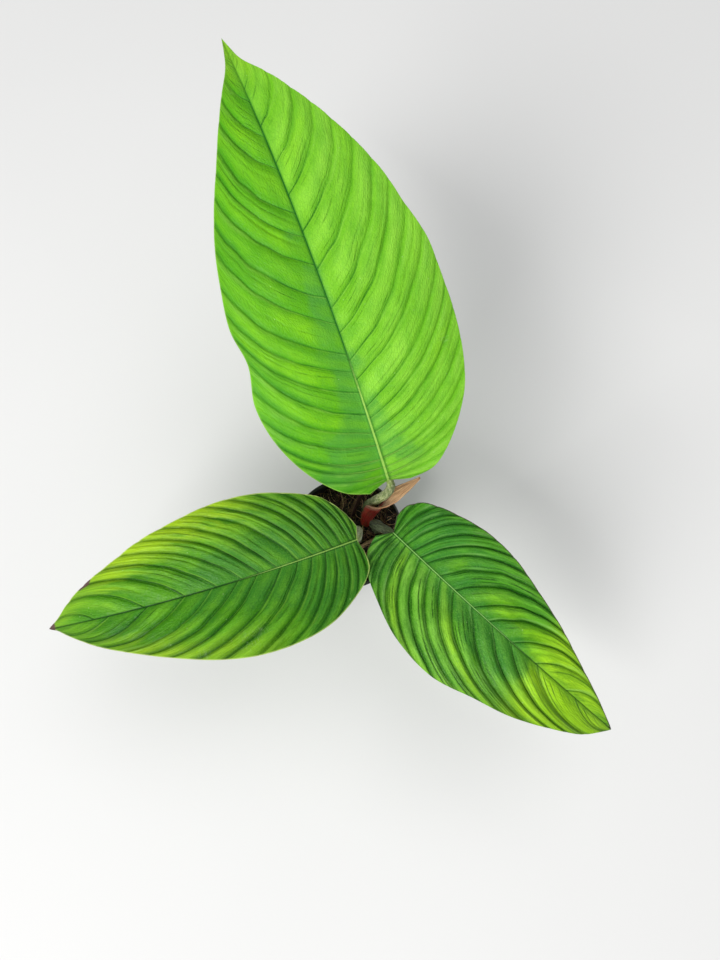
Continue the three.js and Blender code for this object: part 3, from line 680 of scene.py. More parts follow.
def build_mix_body():
    """The dark body of the mix, with a lumpy top."""
    angle = np.linspace(0, 2 * np.pi, MIX_SIDES, endpoint=False)
    gap = POT["wall"] + MIX["body_gap"]
    bottom, shoulder = POT["floor"] + 0.3, MIX["far_height"] - 2
    levels = (bottom, (bottom + shoulder) / 2, shoulder)
    points = []
    for z in levels:
        points += ring_points(pot_radius(z) - gap, z, MIX_SIDES)
    for i in range(MIX_RINGS, 0, -1):
        radius = (pot_radius(POT["height"]) - gap) * i / MIX_RINGS
        x, y = radius * np.cos(angle), radius * np.sin(angle)
        places = np.stack([x, y], -1)
        z = mix_height(x, y) - MIX["sink"]
        z = z + 1.2 * value_noise(places / 5, 4) + 0.6 * value_noise(places / 2, 5)
        points += list(zip(x, y, z))
    faces = grid_faces(MIX_RINGS + len(levels), MIX_SIDES, closed=True)
    close_ends(points, faces, MIX_SIDES, (0, 0, bottom), (0, 0, mix_height(0, 0) - MIX["sink"]))
    return make_piece("bark_mix_body", points, faces)


def chip_shapes(random, count):
    """Split flakes of bark: flat, bent, with broken corners."""
    shapes = []
    for number in range(count):
        shell = bmesh.new()
        bmesh.ops.create_cube(shell, size=1)
        bmesh.ops.subdivide_edges(shell, edges=shell.edges, cuts=1, use_grid_fill=True)
        long, wide, thick = random.uniform(7, 12), random.uniform(3.2, 6), random.uniform(1.2, 2.6)
        bend = random.uniform(-0.05, 0.05)
        for vertex in shell.verts:
            x, y, z = vertex.co
            x, y = x * random.uniform(0.72, 1.05), y * random.uniform(0.7, 1.08)
            z = z * random.uniform(0.6, 1.1)
            x, y = x * long, y * wide * (1 - 0.5 * abs(x))
            vertex.co = (x * MM, y * MM, (z * thick + bend * x * x) * MM)
        bmesh.ops.triangulate(shell, faces=shell.faces)
        mesh = bpy.data.meshes.new(f"bark_chip_shape_{number}")
        shell.to_mesh(mesh)
        shell.free()
        shapes.append(bpy.data.objects.new(mesh.name, mesh))
    return shapes


def fibre_shapes(random, count):
    """Coir fibres: thin three-sided strands that bend and kink."""
    shapes = []
    for number in range(count):
        length, radius, bends = random.uniform(10, 26), random.uniform(0.16, 0.42), 9
        heading, climb = 0.0, random.uniform(-0.1, 0.5)
        place = np.zeros(3)
        centres = [place]
        for _ in range(bends):
            heading += random.uniform(-0.5, 0.5)
            climb += random.uniform(-0.34, 0.2)
            step = np.array([math.cos(heading) * math.cos(climb), math.sin(heading) * math.cos(climb),
                             math.sin(climb)])
            place = place + step * length / bends
            centres.append(place)
        centres = np.array(centres) - np.mean(centres, axis=0) + np.array([0, 0, 0.6])
        points, faces = [], []
        for i, centre in enumerate(centres):
            thin = radius * (1 - 0.8 * i / bends)
            for k in range(3):
                a = 2 * math.pi * k / 3
                points.append(centre + np.array([0, math.cos(a), math.sin(a)]) * thin)
        faces += grid_faces(bends + 1, 3, closed=True)
        faces += [(2, 1, 0), (3 * bends, 3 * bends + 1, 3 * bends + 2)]
        shape = make_piece(f"fibre_shape_{number}", points, faces, weld=False)
        bpy.context.scene.collection.objects.unlink(shape)
        shapes.append(shape)
    return shapes


SCATTER_INPUTS = {
    "Shapes": "Collection", "Count per square metre": "Float", "Seed": "Int", "Smallest": "Float",
    "Largest": "Float", "Tilt": "Float", "Raise": "Float", "Lowest": "Float",
}


def scatter_tree(name, material):
    """Scatters the shapes of a collection over a surface, by named sizes and a seed."""
    tree = bpy.data.node_groups.new(name, "GeometryNodeTree")
    face = tree.interface
    face.new_socket("Surface", in_out="INPUT", socket_type="NodeSocketGeometry")
    inputs = {label: face.new_socket(label, in_out="INPUT", socket_type="NodeSocket" + kind).identifier
              for label, kind in SCATTER_INPUTS.items()}
    face.new_socket("Scattered", in_out="OUTPUT", socket_type="NodeSocketGeometry")
    b = Bench(tree)
    given = b.node("NodeGroupInput").outputs
    above = b.node("FunctionNodeCompare", {"operation": "GREATER_THAN"})
    b.put(above, 0, b.parts(b.node("GeometryNodeInputPosition").outputs[0])["Z"])
    b.put(above, 1, given["Lowest"])
    spots = b.node("GeometryNodeDistributePointsOnFaces", Mesh=given["Surface"], Selection=above.outputs[0],
                   Density=given["Count per square metre"], Seed=given["Seed"])
    picked = b.node("GeometryNodeCollectionInfo", Collection=given["Shapes"], Separate_Children=True,
                    Reset_Children=True)
    lean = b.vector(given["Tilt"], given["Tilt"], math.pi)
    back = b.node("ShaderNodeVectorMath", {"operation": "SCALE"}, Vector=lean, Scale=-1)
    spin = b.node("FunctionNodeRandomValue", {"data_type": "FLOAT_VECTOR"}, Min=back.outputs[0], Max=lean,
                  Seed=given["Seed"])
    size = b.node("FunctionNodeRandomValue", {"data_type": "FLOAT"}, Seed=given["Seed"])
    b.put(size, 2, given["Smallest"])
    b.put(size, 3, given["Largest"])
    placed = b.node("GeometryNodeInstanceOnPoints", Points=spots.outputs["Points"], Pick_Instance=True,
                    Instance=picked.outputs[0], Rotation=spin.outputs[0], Scale=size.outputs[1])
    lifted = b.node("GeometryNodeTranslateInstances", Instances=placed.outputs[0],
                    Translation=b.vector(z=given["Raise"]), Local_Space=False)
    tone = b.node("FunctionNodeRandomValue", {"data_type": "FLOAT"}, Seed=TONE_SEED)
    toned = b.node("GeometryNodeStoreNamedAttribute", {"data_type": "FLOAT", "domain": "INSTANCE"},
                   Geometry=lifted.outputs[0], Name="tone", Value=tone.outputs[1])
    real = b.node("GeometryNodeRealizeInstances", Geometry=toned.outputs[0])
    dressed = b.node("GeometryNodeSetMaterial", Geometry=real.outputs[0], Material=material)
    b.put(b.node("NodeGroupOutput"), 0, dressed.outputs[0])
    return tree, inputs


def scatter(name, surface, shapes, material, **values):
    """A plain mesh of the shapes scattered over the surface."""
    kit = bpy.data.collections.new(name + "_shapes")
    bpy.context.scene.collection.children.link(kit)
    for shape in shapes:
        kit.objects.link(shape)
    piece = add_object(name, surface.data.copy())
    piece.data.materials.clear()
    tree, inputs = scatter_tree(name + "_tree", material)
    nodes = piece.modifiers.new("scatter", "NODES")
    nodes.node_group = tree
    nodes[inputs["Shapes"]] = kit
    for label, value in values.items():
        nodes[inputs[label.replace("_", " ")]] = value
    made_plain(piece)
    for shape in shapes:
        bpy.data.objects.remove(shape)
    bpy.data.collections.remove(kit)
    bpy.data.node_groups.remove(tree)
    return piece


def keep_inside_pot(piece):
    """Presses what would stick through the pot's wall back against the inside of the wall."""
    places = np.empty(len(piece.data.vertices) * 3)
    piece.data.vertices.foreach_get("co", places)
    places = places.reshape(-1, 3)
    away = np.hypot(places[:, 0], places[:, 1])
    height = np.clip(places[:, 2] / MM, 0, POT["height"])
    most = (pot_radius(height) - POT["wall"] - MIX["wall_gap"]) * MM
    places[:, :2] *= np.minimum(1, most / np.maximum(away, MM))[:, None]
    piece.data.vertices.foreach_set("co", places.ravel())
    piece.data.update()


# Nodes and materials

class Bench:
    """Lays out and joins nodes. A value may be a number, a colour or another node's output."""

    def __init__(self, tree):
        self.tree = tree
        self.column = 0

    def node(self, kind, settings=None, **inputs):
        node = self.tree.nodes.new(kind)
        self.column += 1
        node.location = (180 * (self.column % 24), -260 * (self.column // 24))
        for label, value in (settings or {}).items():
            setattr(node, label, value)
        for label, value in inputs.items():
            self.put(node, label.replace("_", " "), value)
        return node

    def put(self, node, place, value):
        socket = node.inputs[place]
        if isinstance(value, bpy.types.NodeSocket):
            self.tree.links.new(value, socket)
        elif socket.type == "RGBA" and len(value) == 3:
            socket.default_value = (*value, 1)
        else:
            socket.default_value = value

    def math(self, operation, *values, clamp=False):
        node = self.node("ShaderNodeMath", {"operation": operation, "use_clamp": clamp})
        for k, value in enumerate(values):
            self.put(node, k, value)
        return node.outputs[0]

    def ramp(self, value, low, high, start=0.0, end=1.0, soft=True):
        kind = "SMOOTHSTEP" if soft else "LINEAR"
        node = self.node("ShaderNodeMapRange", {"interpolation_type": kind})
        for place, given in enumerate((value, low, high, start, end)):
            self.put(node, place, given)
        return node.outputs[0]

    def times(self, first, *others):
        for other in others:
            first = self.math("MULTIPLY", first, other)
        return first

    def plus(self, first, *others):
        for other in others:
            first = self.math("ADD", first, other)
        return first

    def minus(self, first, *others):
        for other in others:
            first = self.math("SUBTRACT", first, other)
        return first

    def between(self, share, first, second):
        """A value that goes from the first to the second with share."""
        return self.plus(self.times(self.minus(1.0, share), first), self.times(share, second))

    def mix(self, share, first, second):
        node = self.node("ShaderNodeMix", {"data_type": "RGBA", "blend_type": "MIX"})
        for place, value in ((0, share), (6, first), (7, second)):
            self.put(node, place, value)
        return node.outputs[2]

    def layers(self, colour, *covers):
        """Lays colours over one another, each given as the share of it that covers, and the colour."""
        for share, cover in covers:
            colour = self.mix(share, colour, cover)
        return colour

    def noise(self, vector, scale, detail=2.0, roughness=0.5, distortion=0.0):
        return self.node("ShaderNodeTexNoise", Vector=vector, Scale=scale, Detail=detail,
                         Roughness=roughness, Distortion=distortion).outputs["Fac"]

    def cells(self, vector, scale, feature="DISTANCE_TO_EDGE"):
        return self.node("ShaderNodeTexVoronoi", {"feature": feature}, Vector=vector, Scale=scale,
                         Randomness=1.0).outputs["Distance"]

    def vector(self, x=0.0, y=0.0, z=0.0):
        return self.node("ShaderNodeCombineXYZ", X=x, Y=y, Z=z).outputs[0]

    def parts(self, vector):
        return self.node("ShaderNodeSeparateXYZ", Vector=vector).outputs

    def mark(self, name):
        return self.node("ShaderNodeAttribute", {"attribute_name": name}).outputs["Fac"]

    def map(self, name):
        return self.node("ShaderNodeUVMap", {"uv_map": name}).outputs[0]

    def place(self):
        return self.node("ShaderNodeTexCoord").outputs["Object"]

    def bump(self, height, distance):
        return self.node("ShaderNodeBump", Height=height, Distance=distance, Strength=1.0).outputs[0]


def node_group(name, vectors, values, results):
    """A shader group with named sockets, and a bench to fill it."""
    tree = bpy.data.node_groups.new(name, "ShaderNodeTree")
    sockets = [(label, "INPUT", "NodeSocketVector") for label in vectors]
    sockets += [(label, "INPUT", "NodeSocketFloat") for label in values]
    sockets += [(label, "OUTPUT", "NodeSocketFloat") for label in results]
    for label, way, kind in sockets:
        tree.interface.new_socket(label, in_out=way, socket_type=kind)
    bench = Bench(tree)
    return tree, bench, bench.node("NodeGroupInput").outputs, bench.node("NodeGroupOutput")


def use_group(bench, tree, values):
    node = bench.node("ShaderNodeGroup", {"node_tree": tree})
    for label, value in values.items():
        bench.put(node, label, value)
    return node.outputs


def new_material(name):
    material = bpy.data.materials.new(name)
    material.use_nodes = True
    material.node_tree.nodes.clear()
    bench = Bench(material.node_tree)
    shader = bench.node("ShaderNodeBsdfPrincipled")
    bench.put(bench.node("ShaderNodeOutputMaterial"), 0, shader.outputs[0])
    return material, bench, shader


def dress(b, shader, colour, roughness, height, depth, gloss=None):
    """Joins what varies over a surface to its shader, and sets the gloss that doesn't."""
    for label, value in (("Base Color", colour), ("Roughness", roughness), ("Normal", b.bump(height, depth))):
        b.put(shader, label, value)
    if gloss is not None:
        shader.inputs["Specular IOR Level"].default_value = gloss


# Weaker veins between two main ones: middle, spread, which random number picks it, strength

WEAK_VEINS = ((0.5, 0.1, "X", 1.0), (0.26, 0.06, "Y", 0.7), (0.76, 0.06, "Z", 0.7),
              (0.11, 0.03, "Z", 0.8), (0.9, 0.02, "X", 0.5))


def vein_group():
    """Masks for a blade's veins and midrib and for the tissue between them, from the blade's maps, with masks
    for painted shade beside the veins and painted highlights beside them and on the ridges.
    """
    tree, b, given, out = node_group(
        "leaf veins", ("Veins", "Flat"),
        ("Spacing", "Near width", "Far width", "Band", "Far left", "Far right", "Seed"),
        ("Main", "Weak", "Band", "Ridge", "Light line", "Fine", "Net", "Patches", "Shades", "From midrib",
         "Along", "Out", "Left"))
    veins, flat = b.parts(given["Veins"]), b.parts(given["Flat"])
    count, out_share = veins["X"], b.math("ABSOLUTE", veins["Y"])
    from_rib = b.math("ABSOLUTE", flat["Y"])
    left = b.ramp(veins["Y"], -0.001, 0.001, soft=False)
    number, part, passed = (b.math(kind, count) for kind in ("ROUND", "FRACT", "FLOOR"))

    def streaks(counted, per_vein, per_mm, detail=2.0, roughness=0.5, start=left):
        """Noise drawn out along the veins."""
        place = b.vector(b.times(counted, per_vein), b.times(from_rib, per_mm), start)
        return b.noise(place, 1.0, detail, roughness)

    def random_of(counted, seed):
        """Random numbers that stay the same along a vein."""
        return b.node("ShaderNodeTexWhiteNoise", {"noise_dimensions": "3D"},
                      Vector=b.vector(counted, left, seed)).outputs

    own = random_of(number, given["Seed"])["Value"]
    picks = b.parts(random_of(passed, b.plus(given["Seed"], 5.0))["Color"])
    apart = b.minus(count, number)
    signed = b.times(apart, given["Spacing"])
    width = b.ramp(out_share, 0.1, 0.95, given["Near width"], given["Far width"])
    far = b.ramp(left, 0.0, 1.0, given["Far right"], given["Far left"], soft=False)
    uneven = streaks(number, 3.7, 0.07)
    strength = b.times(b.ramp(own, 0.0, 1.0, 0.6, 1.0, soft=False), b.ramp(out_share, 0.12, 0.6, 1.0, far),
                       b.ramp(uneven, 0.35, 0.65, 0.55, 1.0))
    main = b.times(b.ramp(b.math("ABSOLUTE", signed), width, b.times(width, 0.2)), strength)
    # Painted shade: a dark band on one side of each main vein, where the trough of the quilt lies in shade.
    reach = b.times(given["Band"], b.ramp(out_share, 0.0, 0.6, 0.35, 1.0))
    band = b.times(b.ramp(signed, reach, 0.0), b.ramp(signed, b.times(reach, -0.3), 0.0),
                   b.ramp(b.math("ABSOLUTE", apart), 0.5, 0.36), strength)
    # Painted highlight: a thin light line on the other side of each main vein.
    highlight_line = b.times(b.ramp(signed, b.times(width, -2.6), b.times(width, -1.2)),
                         b.ramp(signed, b.times(width, -0.3), b.times(width, -1.0)),
                         b.ramp(uneven, 0.35, 0.6, 1.0, 0.2))
    # Painted highlight on the lit flank of the quilt between two veins, peaking at the crest.
    crest = b.plus(0.34, b.times(b.minus(own, 0.5), 0.2))
    ridge = b.times(b.ramp(part, 0.03, crest), b.ramp(part, 0.97, b.plus(crest, 0.12)),
                    b.ramp(streaks(passed, 5.3, 0.045), 0.3, 0.7, 0.3, 1.0))
    weak = None
    for middle, spread, pick, most in WEAK_VEINS:
        place = b.ramp(picks[pick], 0.0, 1.0, middle - spread, middle + spread, soft=False)
        gap = b.times(b.math("ABSOLUTE", b.minus(part, place)), given["Spacing"])
        line = b.times(b.ramp(gap, b.times(width, 0.8), 0.1), b.ramp(picks[pick], 0.25, 0.8, 0.0, most))
        weak = line if weak is None else b.math("MAXIMUM", weak, line)
    weak = b.times(weak, b.ramp(out_share, 0.02, 0.15),
                   b.ramp(streaks(count, 1.9, 0.11), 0.4, 0.58, 0.2, 1.0),
                   b.ramp(out_share, 0.3, 0.8, 1.0, b.plus(0.2, far)))
    net = b.cells(b.vector(b.times(count, 9.0), b.times(from_rib, 0.6), left), 1.0)
    fine = b.ramp(streaks(count, 5.5, 0.12, 3.0, 0.65), 0.3, 0.7)
    tints = b.ramp(streaks(count, 1.1, 0.055, 3.0, 0.55), 0.38, 0.62)
    shades = b.ramp(streaks(count, 1.7, 0.09, 4.0, 0.6, b.plus(left, 7.0)), 0.4, 0.66)
    made = {"Main": main, "Weak": weak, "Band": band, "Ridge": ridge, "Light line": highlight_line, "Fine": fine,
            "Net": b.ramp(net, 0.0, 0.2), "Patches": tints, "Shades": shades, "From midrib": from_rib,
            "Along": flat["X"], "Out": out_share, "Left": left}
    for label, value in made.items():
        b.put(out, label, value)
    return tree


SPECK, SCUFF = (0.45, 0.68, 0.28), (0.42, 0.6, 0.3)
DRY_DARK, DRY_BELOW = (0.05, 0.022, 0.022), (0.2, 0.13, 0.1)


def leaf_material(name, groups, look):
    """A quilted leaf, with painted shade, painted highlights and painted bluish sheen in its colour. look
    holds the colours and amounts that set this leaf apart.
    """
    material, b, shader = new_material(name)
    edge, under, place = b.mark("edge"), b.mark("under"), b.place()
    v = use_group(b, groups["veins"], {
        "Veins": b.map("veins"), "Flat": b.map("flat"), "Spacing": b.mark("spacing"), "Band": look["band"],
        "Near width": look["near_width"], "Far width": look["far_width"], "Far left": look["far_left"],
        "Far right": look["far_right"], "Seed": float(look["seed"])})
    along, from_rib, left, tip_from, pale_to = (v["Along"], v["From midrib"], v["Left"], look["tip_from"],
                                                look["pale_to"])
    speckle = b.noise(place, 1300.0, 3.0, 0.65)
    cloud = b.noise(place, 75.0, 3.0, 0.6)

    tip_fade = b.ramp(along, tip_from * 0.95, tip_from * 1.2, 1.0, look["tip_veins"])
    main = b.times(v["Main"], tip_fade)
    base_fade = b.ramp(along, look["plain_to"] * 0.3, look["plain_to"], look["plain_bands"], 1.0)
    sides = (base_fade, 1.0) if look["plain_side"] == "right" else (1.0, base_fade)
    band = b.times(v["Band"], tip_fade, b.between(left, *sides))
    # The pale colour of the leaf's patches and speckle, also used as the painted highlight on the lit ridges.
    light = b.mix(left, look["pale_and_lit_right"], look["pale_and_lit_left"])
    pale_and_lit_share = b.math("ADD", b.times(v["Ridge"], look["ridge_highlight_amount"]),
                        b.times(v["Patches"], b.ramp(cloud, 0.3, 0.6, 0.15, 0.4)), clamp=True)
    warm = b.times(b.mark("warm"), b.ramp(cloud, 0.25, 0.6, 0.5, 1.0),
                   b.ramp(v["Fine"], 0.0, 1.0, look["warm_amount"] * 0.65, look["warm_amount"]))
    margin_reach = b.ramp(v["Patches"], 0.0, 1.0, look["margin_reach"] * 0.4, look["margin_reach"])
    margin = b.times(b.ramp(edge, margin_reach, 0.5),
                     b.ramp(left, 0.0, 1.0, look["margin_right"], look["margin_left"]),
                     b.ramp(along, look["margin_from"], look["margin_from"] + 40.0),
                     b.ramp(along, tip_from + 12.0, tip_from - 15.0, 0.3, 1.0))
    shade = b.times(v["Shades"], b.ramp(margin, 0.0, 0.6, look["shade_amount"], 0.1))
    # Painted bluish sheen: the listed spots, and a strip beside the midrib; less of it on the lit ridges.
    cool = b.plus(b.mark("cool"), b.ramp(cloud, 0.3, 0.7, -0.2, 0.2))
    cool = b.math("MAXIMUM", b.times(b.ramp(cool, 0.25, 0.75), look["sheen_amount"]),
                  b.times(b.ramp(from_rib, 5.0, 1.0), look["rib_sheen"]))
    cool = b.times(cool, b.ramp(v["Ridge"], 0.2, 0.9, 1.0, 0.55))
    pale_veins = b.times(b.ramp(along, pale_to * 0.6, 0.0),
                         b.ramp(v["Out"], 0.75, 0.1, 0.0, look["pale_veins"]), v["Main"])
    specks = b.ramp(b.cells(place, 105.0, "F1"), 0.05, 0.02)
    rib_width = b.ramp(along, 0.0, pale_to, look["rib_width"], look["rib_width"] * 0.5, soft=False)
    rib_fade = b.ramp(along, tip_from * 0.85, tip_from * 1.2, 1.0, look["rib_tip"])
    rib_shade = b.times(b.ramp(from_rib, b.times(rib_width, 3.2), rib_width), look["rib_shade"], rib_fade)
    rib = b.times(b.ramp(from_rib, rib_width, b.times(rib_width, 0.5)), rib_fade)
    rib_colour = b.mix(b.ramp(along, pale_to * 0.6, pale_to * 1.1), look["pale"], look["vein"])
    rim = b.times(b.ramp(edge, 0.8, 0.3), b.ramp(left, 0.0, 1.0, look["edge_right"], look["edge_left"]))
    scratches = b.noise(b.vector(along, b.times(from_rib, 0.35), 4.0), 1.1, 4.0, 0.7)
    dry = b.ramp(b.plus(b.mark("dry"), b.ramp(speckle, 0.3, 0.7, -0.08, 0.08)), 0.42, 0.6)

    colour = b.layers(
        b.mix(left, look["right"], look["left"]), (pale_and_lit_share, light),
        (b.ramp(along, tip_from, tip_from * 1.25, 0.0, look["tip_amount"]), look["tip"]),
        (warm, look["yellow"]), (shade, look["deep"]), (margin, look["yellow"]), (cool, look["bluish_sheen"]),
        (b.times(b.ramp(v["Net"], 1.0, 0.0), 0.12), look["deep"]),
        (b.ramp(v["Fine"], 0.5, 1.0, 0.0, look["line_amount"]), look["deep"]),
        # Painted shade along the main veins, then a painted highlight line beside them.
        (b.times(band, look["shade_band_amount"]), look["deep"]),
        (b.times(v["Light line"], look["highlight_line"]), look["vein_highlight"]),
        (b.times(v["Weak"], look["weak_amount"]), look["vein"]),
        (b.times(main, look["main_amount"]), look["vein"]), (pale_veins, look["pale"]),
        (b.ramp(speckle, 0.45, 0.72, 0.0, 0.25), light),
        (b.ramp(speckle, 0.5, 0.28, 0.0, 0.2), look["deep"]), (b.times(specks, 0.35), SPECK),
        (rib_shade, look["vein"]), (rib, rib_colour), (rim, look["edge"]),
        (b.times(b.mark("scuff"), b.ramp(scratches, 0.48, 0.66, 0.0, 0.3)), SCUFF),
        (dry, b.mix(speckle, DRY_DARK, look["dry_light"])))
    below = b.layers(
        b.mix(v["Patches"], look["below"], look["below_light"]),
        (b.math("MAXIMUM", b.times(v["Main"], 0.7), rib), look["pale"]), (dry, DRY_BELOW))
    roughness = b.plus(b.ramp(speckle, 0.3, 0.7, look["roughness"] - 0.07, look["roughness"] + 0.07),
                       b.times(b.math("MAXIMUM", under, dry), 0.2))
    height = b.plus(b.times(v["Net"], 0.3), b.times(v["Fine"], 0.35))
    height = b.minus(height, main, b.times(v["Weak"], 0.8))
    height = b.plus(height, b.times(speckle, 0.3))
    dress(b, shader, b.mix(under, colour, below), roughness, height, 0.0004, look["gloss"])
    return material


def skin_group():
    """Streaky, scurfy plant skin along a stalk: a streak mask, a scurf mask and a height."""
    tree, b, given, out = node_group("stalk skin", ("Place",), ("Around", "Along", "Streak", "Fold"),
                                     ("Streaks", "Scurf", "Height"))
    turn = b.times(given["Around"], 2 * math.pi)
    x, y = b.math("COSINE", turn), b.math("SINE", turn)
    long = b.vector(b.times(x, given["Streak"]), b.times(y, given["Streak"]), b.times(given["Along"], 0.12))
    streaks = b.noise(long, 1.0, 3.0, 0.6)
    cross = b.vector(b.times(x, 1.6), b.times(y, 1.6), b.times(given["Along"], given["Fold"]))
    folds = b.noise(cross, 1.0, 4.0, 0.62, 0.4)
    scurf = b.noise(given["Place"], 700.0, 4.0, 0.65)
    b.put(out, "Streaks", b.ramp(streaks, 0.4, 0.62))
    b.put(out, "Scurf", b.times(b.ramp(scurf, 0.45, 0.65), b.ramp(folds, 0.35, 0.6)))
    b.put(out, "Height", b.plus(folds, b.times(streaks, 0.5), b.times(scurf, 0.3)))
    return tree


def stalk_material(name, groups, look):
    material, b, shader = new_material(name)
    skin = use_group(b, groups["skin"], {"Around": b.mark("around"), "Along": b.mark("along"),
                                         "Place": b.place(), "Streak": look["streak"], "Fold": look["fold"]})
    share = b.mark("share")
    colour = b.layers(look["base"], (skin["Streaks"], look["streaks"]),
                      (b.ramp(share, look["top_from"], 1.0, 0.0, look["top"]), look["top_colour"]),
                      (b.times(skin["Scurf"], look["scurf"]), look["scurf_colour"]),
                      (b.ramp(share, look["foot_to"], 0.0, 0.0, look["foot"]), look["foot_colour"]))
    dress(b, shader, colour, b.ramp(skin["Scurf"], 0.0, 1.0, look["roughness"], 0.85), skin["Height"],
          look["depth"], 0.25)
    return material


def sheath_material(name, look):
    """A papery sheath: ribbed, darker at the foot and at the edges, with a pale mouth."""
    material, b, shader = new_material(name)
    across, along, share = b.mark("across"), b.mark("along"), b.mark("share")
    low, high = look["change"]
    lines = b.vector(b.times(across, look["lines"]), b.times(along, 0.06), 0.0)
    streaks = b.ramp(b.noise(lines, 1.0, 3.0, 0.6), 0.38, 0.62)
    blotch = b.noise(b.vector(b.times(across, 2.5), b.times(along, 0.12), 3.0), 1.0, 3.0)
    mouth = b.times(b.ramp(share, low - 0.04, low + 0.03), b.ramp(share, high + 0.1, high - 0.04))
    border = b.ramp(b.math("ABSOLUTE", across), 0.8, 0.97)
    colour = b.layers(b.mix(streaks, look["foot"], look["foot_streak"]),
                      (b.ramp(share, low, high), b.mix(streaks, look["limb"], look["limb_streak"])),
                      (b.times(mouth, look["mouth_amount"]), look["mouth"]),
                      (b.times(b.ramp(blotch, 0.48, 0.7), look["blotch_amount"]), look["blotch"]),
                      (b.times(border, look["border_amount"]), look["border"]))
    roughness = b.ramp(streaks, 0.0, 1.0, look["roughness"] - 0.06, look["roughness"] + 0.08)
    dress(b, shader, colour, roughness, b.plus(streaks, blotch), 0.0004, 0.3)
    return material


def litter_material(name, tones, scale, roughness):
    """Bark or fibre: each scattered bit takes its own tone."""
    material, b, shader = new_material(name)
    tone = b.mark("tone")
    grain = b.noise(b.place(), scale, 4.0, 0.62, 0.3)
    colour = b.layers(tones[0], (tone, tones[1]), (b.ramp(tone, 0.6, 0.95), tones[2]),
                      (b.ramp(grain, 0.55, 0.3, 0.0, 0.75), (0.012, 0.008, 0.005)))
    dress(b, shader, colour, roughness, grain, 0.0006)
    return material


def mix_body_material():
    material, b, shader = new_material("dark_peat")
    place = b.place()
    crumbs = b.cells(place, 420.0, "F1")
    grain = b.noise(place, 900.0, 4.0, 0.6)
    colour = b.layers((0.012, 0.009, 0.006), (b.ramp(crumbs, 0.1, 0.6), (0.003, 0.002, 0.002)),
                      (b.ramp(grain, 0.55, 0.75), (0.09, 0.055, 0.03)))
    dress(b, shader, colour, 0.95, b.minus(grain, crumbs), 0.001)
    return material


def pot_material():
    """Black moulded plastic with a fine grain, rubbed edges and dust from the mix."""
    material, b, shader = new_material("black_moulded_plastic")
    place = b.place()
    near_lip = b.ramp(b.parts(place)["Z"], 0.058, 0.072)
    rubs = b.noise(place, 60.0, 6.0, 0.7, 1.5)
    rubbed = b.times(b.ramp(rubs, 0.56, 0.72), b.ramp(near_lip, 0.0, 1.0, 0.25, 0.8))
    dust = b.times(b.ramp(b.noise(place, 140.0, 5.0, 0.7), 0.52, 0.75), near_lip, 0.35)
    colour = b.layers((0.012, 0.012, 0.013), (rubbed, (0.05, 0.05, 0.052)), (dust, (0.11, 0.08, 0.055)))
    dress(b, shader, colour, b.ramp(rubbed, 0.0, 1.0, 0.38, 0.62), b.noise(place, 1600.0, 3.0, 0.55), 0.00006)
    return material


# The room

CAMERA = {"place": (0.0090, -0.1032, 0.5626), "tilt": 16.0, "lens": 27.04, "sensor": 36.0, "reach": 50.0}
LIGHTS = {
    "window_light": {"place": (-1.6, -1.9, 2.3), "aim": (0, 0, 0.15), "size": 1.9, "power": 128.0},
    "ceiling_light": {"place": (0.6, 1.0, 3.0), "aim": (0, 0.05, 0.15), "size": 2.1, "power": 26.0},
}
LIGHT_COLOUR, ROOM_COLOUR, ROOM_STRENGTH = (1.0, 0.985, 0.96), (0.97, 0.985, 1.0, 1), 0.34
FLOOR_REACH = 6.0
FLOOR_COLOURS = ((0.7, 0.705, 0.71), (0.74, 0.745, 0.75))


def build_room():
    floor_material, b, shader = new_material("pale_floor")
    b.put(shader, "Base Color", b.mix(b.noise(b.place(), 3.0), *FLOOR_COLOURS))
    b.put(shader, "Roughness", 0.9)
    mesh = bpy.data.meshes.new("pale_floor")
    corners = [(x * FLOOR_REACH, y * FLOOR_REACH, 0) for x, y in ((-1, -1), (1, -1), (1, 1), (-1, 1))]
    mesh.from_pydata(corners, [], [(0, 1, 2, 3)])
    mesh.materials.append(floor_material)
    add_object("pale_floor", mesh)
    world = bpy.data.worlds.new("soft_room")
    bpy.context.scene.world = world
    world.use_nodes = True
    background = world.node_tree.nodes["Background"]
    background.inputs[0].default_value, background.inputs[1].default_value = ROOM_COLOUR, ROOM_STRENGTH
    bpy.context.scene.view_settings.view_transform = "Standard"
    for name, sizes in LIGHTS.items():
        lamp = bpy.data.lights.new(name, "AREA")
        lamp.shape, lamp.size, lamp.energy, lamp.color = "SQUARE", sizes["size"], sizes["power"], LIGHT_COLOUR
        light = add_object(name, lamp)
        light.location = sizes["place"]
        x, y, z = np.array(sizes["aim"]) - np.array(sizes["place"])
        light.rotation_euler = (math.atan2(math.hypot(x, y), -z), 0, math.atan2(-x, y))
    lens = bpy.data.cameras.new("camera")
    lens.lens, lens.sensor_width, lens.clip_end = CAMERA["lens"], CAMERA["sensor"], CAMERA["reach"]
    camera = add_object("camera", lens)
    camera.location = CAMERA["place"]
    camera.rotation_euler = (math.radians(CAMERA["tilt"]), 0, 0)
    bpy.context.scene.camera = camera


# Looks of the leaves, stalks, sheaths and the mix

